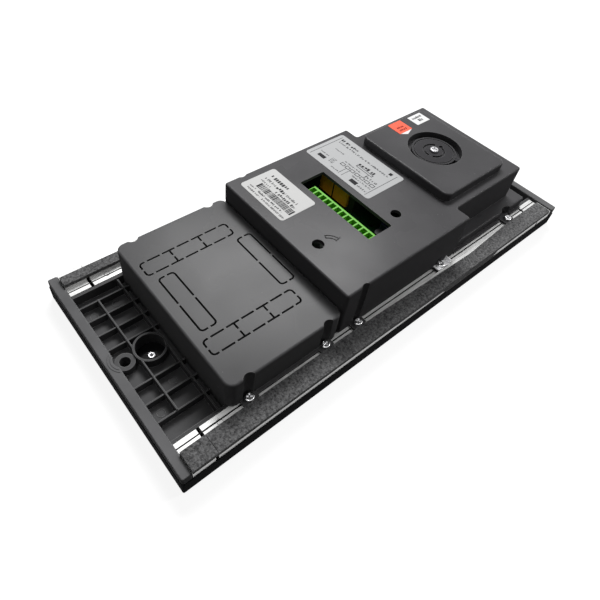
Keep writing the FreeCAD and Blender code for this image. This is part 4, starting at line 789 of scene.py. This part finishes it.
# Levels of the floor and the world: as seen, and as they light the object
FLOOR_HALF_SIZE = 3
FLOOR_DROP = 0.0002
FLOOR_GLOW = 0.88
FLOOR_SHADOWED = 0.25
FLOOR_BOUNCE = 0.03
WORLD_LIGHT = 0.04
WORLD_SEEN = 1.0

# Lamps: name, place, width, height and power, all aimed at one point
LAMP_AIM = (0, 0, 0.03)
LAMPS = (
    ("top_bank", (0.34, 0.42, 0.75), 0.5, 0.25, 8.6),
    ("left_fill", (-0.25, 0, 0.86), 0.15, 0.15, 0.6),
    ("edge_strip", (0.6, -0.25, 0.72), 0.02, 0.6, 2),
)

# The camera as fitted to the object's straight edges
CAMERA_SENSOR = 36
CAMERA_LENS = 31.1
CAMERA_SHIFT = (0.0332, -0.0569)
CAMERA_PLACE = (-0.16501, -0.12755, 0.21848)
CAMERA_TURN = (41.340, -4.729, -39.425)
CAMERA_NEAR = 0.01


def seen_directly(tree):
    """1 for camera, glossy and transmission rays, and 0 for the rest."""
    path = tree.nodes.new("ShaderNodeLightPath")
    factor = path.outputs["Is Camera Ray"]
    for ray in ("Is Glossy Ray", "Is Transmission Ray"):
        either = tree.nodes.new("ShaderNodeMath")
        either.operation = "MAXIMUM"
        tree.links.new(factor, either.inputs[0])
        tree.links.new(path.outputs[ray], either.inputs[1])
        factor = either.outputs[0]
    return factor


def mix_for_rays(tree, plain, seen, output):
    mix = tree.nodes.new("ShaderNodeMixShader")
    tree.links.new(seen_directly(tree), mix.inputs[0])
    tree.links.new(plain, mix.inputs[1])
    tree.links.new(seen, mix.inputs[2])
    tree.links.new(mix.outputs[0], output)


def grey_node(tree, kind, level=1, **values):
    """The output of a shader node whose colour is a grey."""
    node = tree.nodes.new(kind)
    node.inputs["Color"].default_value = (level, level, level, 1)
    for socket, value in values.items():
        node.inputs[socket].default_value = value
    return node.outputs[0]


def make_floor():
    data = bpy.data.meshes.new("floor")
    half = FLOOR_HALF_SIZE
    corners = [(-half, -half, 0), (half, -half, 0), (half, half, 0), (-half, half, 0)]
    data.from_pydata(corners, [], [(0, 1, 2, 3)])
    floor = bpy.data.objects.new("floor", data)
    floor.location.z = -FLOOR_DROP
    bpy.context.collection.objects.link(floor)
    material = bpy.data.materials.new("floor_pale")
    material.use_nodes = True
    tree = material.node_tree
    tree.nodes.clear()
    seen = tree.nodes.new("ShaderNodeAddShader")
    tree.links.new(grey_node(tree, "ShaderNodeEmission", Strength=FLOOR_GLOW), seen.inputs[0])
    tree.links.new(grey_node(tree, "ShaderNodeBsdfDiffuse", FLOOR_SHADOWED), seen.inputs[1])
    plain = grey_node(tree, "ShaderNodeBsdfDiffuse", FLOOR_BOUNCE)
    out = tree.nodes.new("ShaderNodeOutputMaterial")
    mix_for_rays(tree, plain, seen.outputs[0], out.inputs["Surface"])
    data.materials.append(material)


def make_world():
    world = bpy.data.worlds.new("studio")
    bpy.context.scene.world = world
    world.use_nodes = True
    tree = world.node_tree
    tree.nodes.clear()
    light = grey_node(tree, "ShaderNodeBackground", Strength=WORLD_LIGHT)
    seen = grey_node(tree, "ShaderNodeBackground", Strength=WORLD_SEEN)
    out = tree.nodes.new("ShaderNodeOutputWorld")
    mix_for_rays(tree, light, seen, out.inputs["Surface"])


def area_light(name, place, width, height, power):
    data = bpy.data.lights.new(name, "AREA")
    data.shape = "RECTANGLE"
    data.size = width
    data.size_y = height
    data.energy = power
    light = bpy.data.objects.new(name, data)
    light.location = place
    light.rotation_mode = "QUATERNION"
    light.rotation_quaternion = (Vector(LAMP_AIM) - Vector(place)).to_track_quat("-Z", "Y")
    light.visible_camera = False
    bpy.context.collection.objects.link(light)


def make_camera():
    data = bpy.data.cameras.new("camera")
    data.sensor_width = CAMERA_SENSOR
    data.lens = CAMERA_LENS
    data.shift_x, data.shift_y = CAMERA_SHIFT
    data.clip_start = CAMERA_NEAR
    camera = bpy.data.objects.new("camera", data)
    camera.location = CAMERA_PLACE
    camera.rotation_euler = [math.radians(a) for a in CAMERA_TURN]
    bpy.context.collection.objects.link(camera)
    bpy.context.scene.camera = camera


make_floor()
make_world()
for lamp in LAMPS:
    area_light(*lamp)
make_camera()
bpy.context.scene.view_settings.view_transform = "Standard"
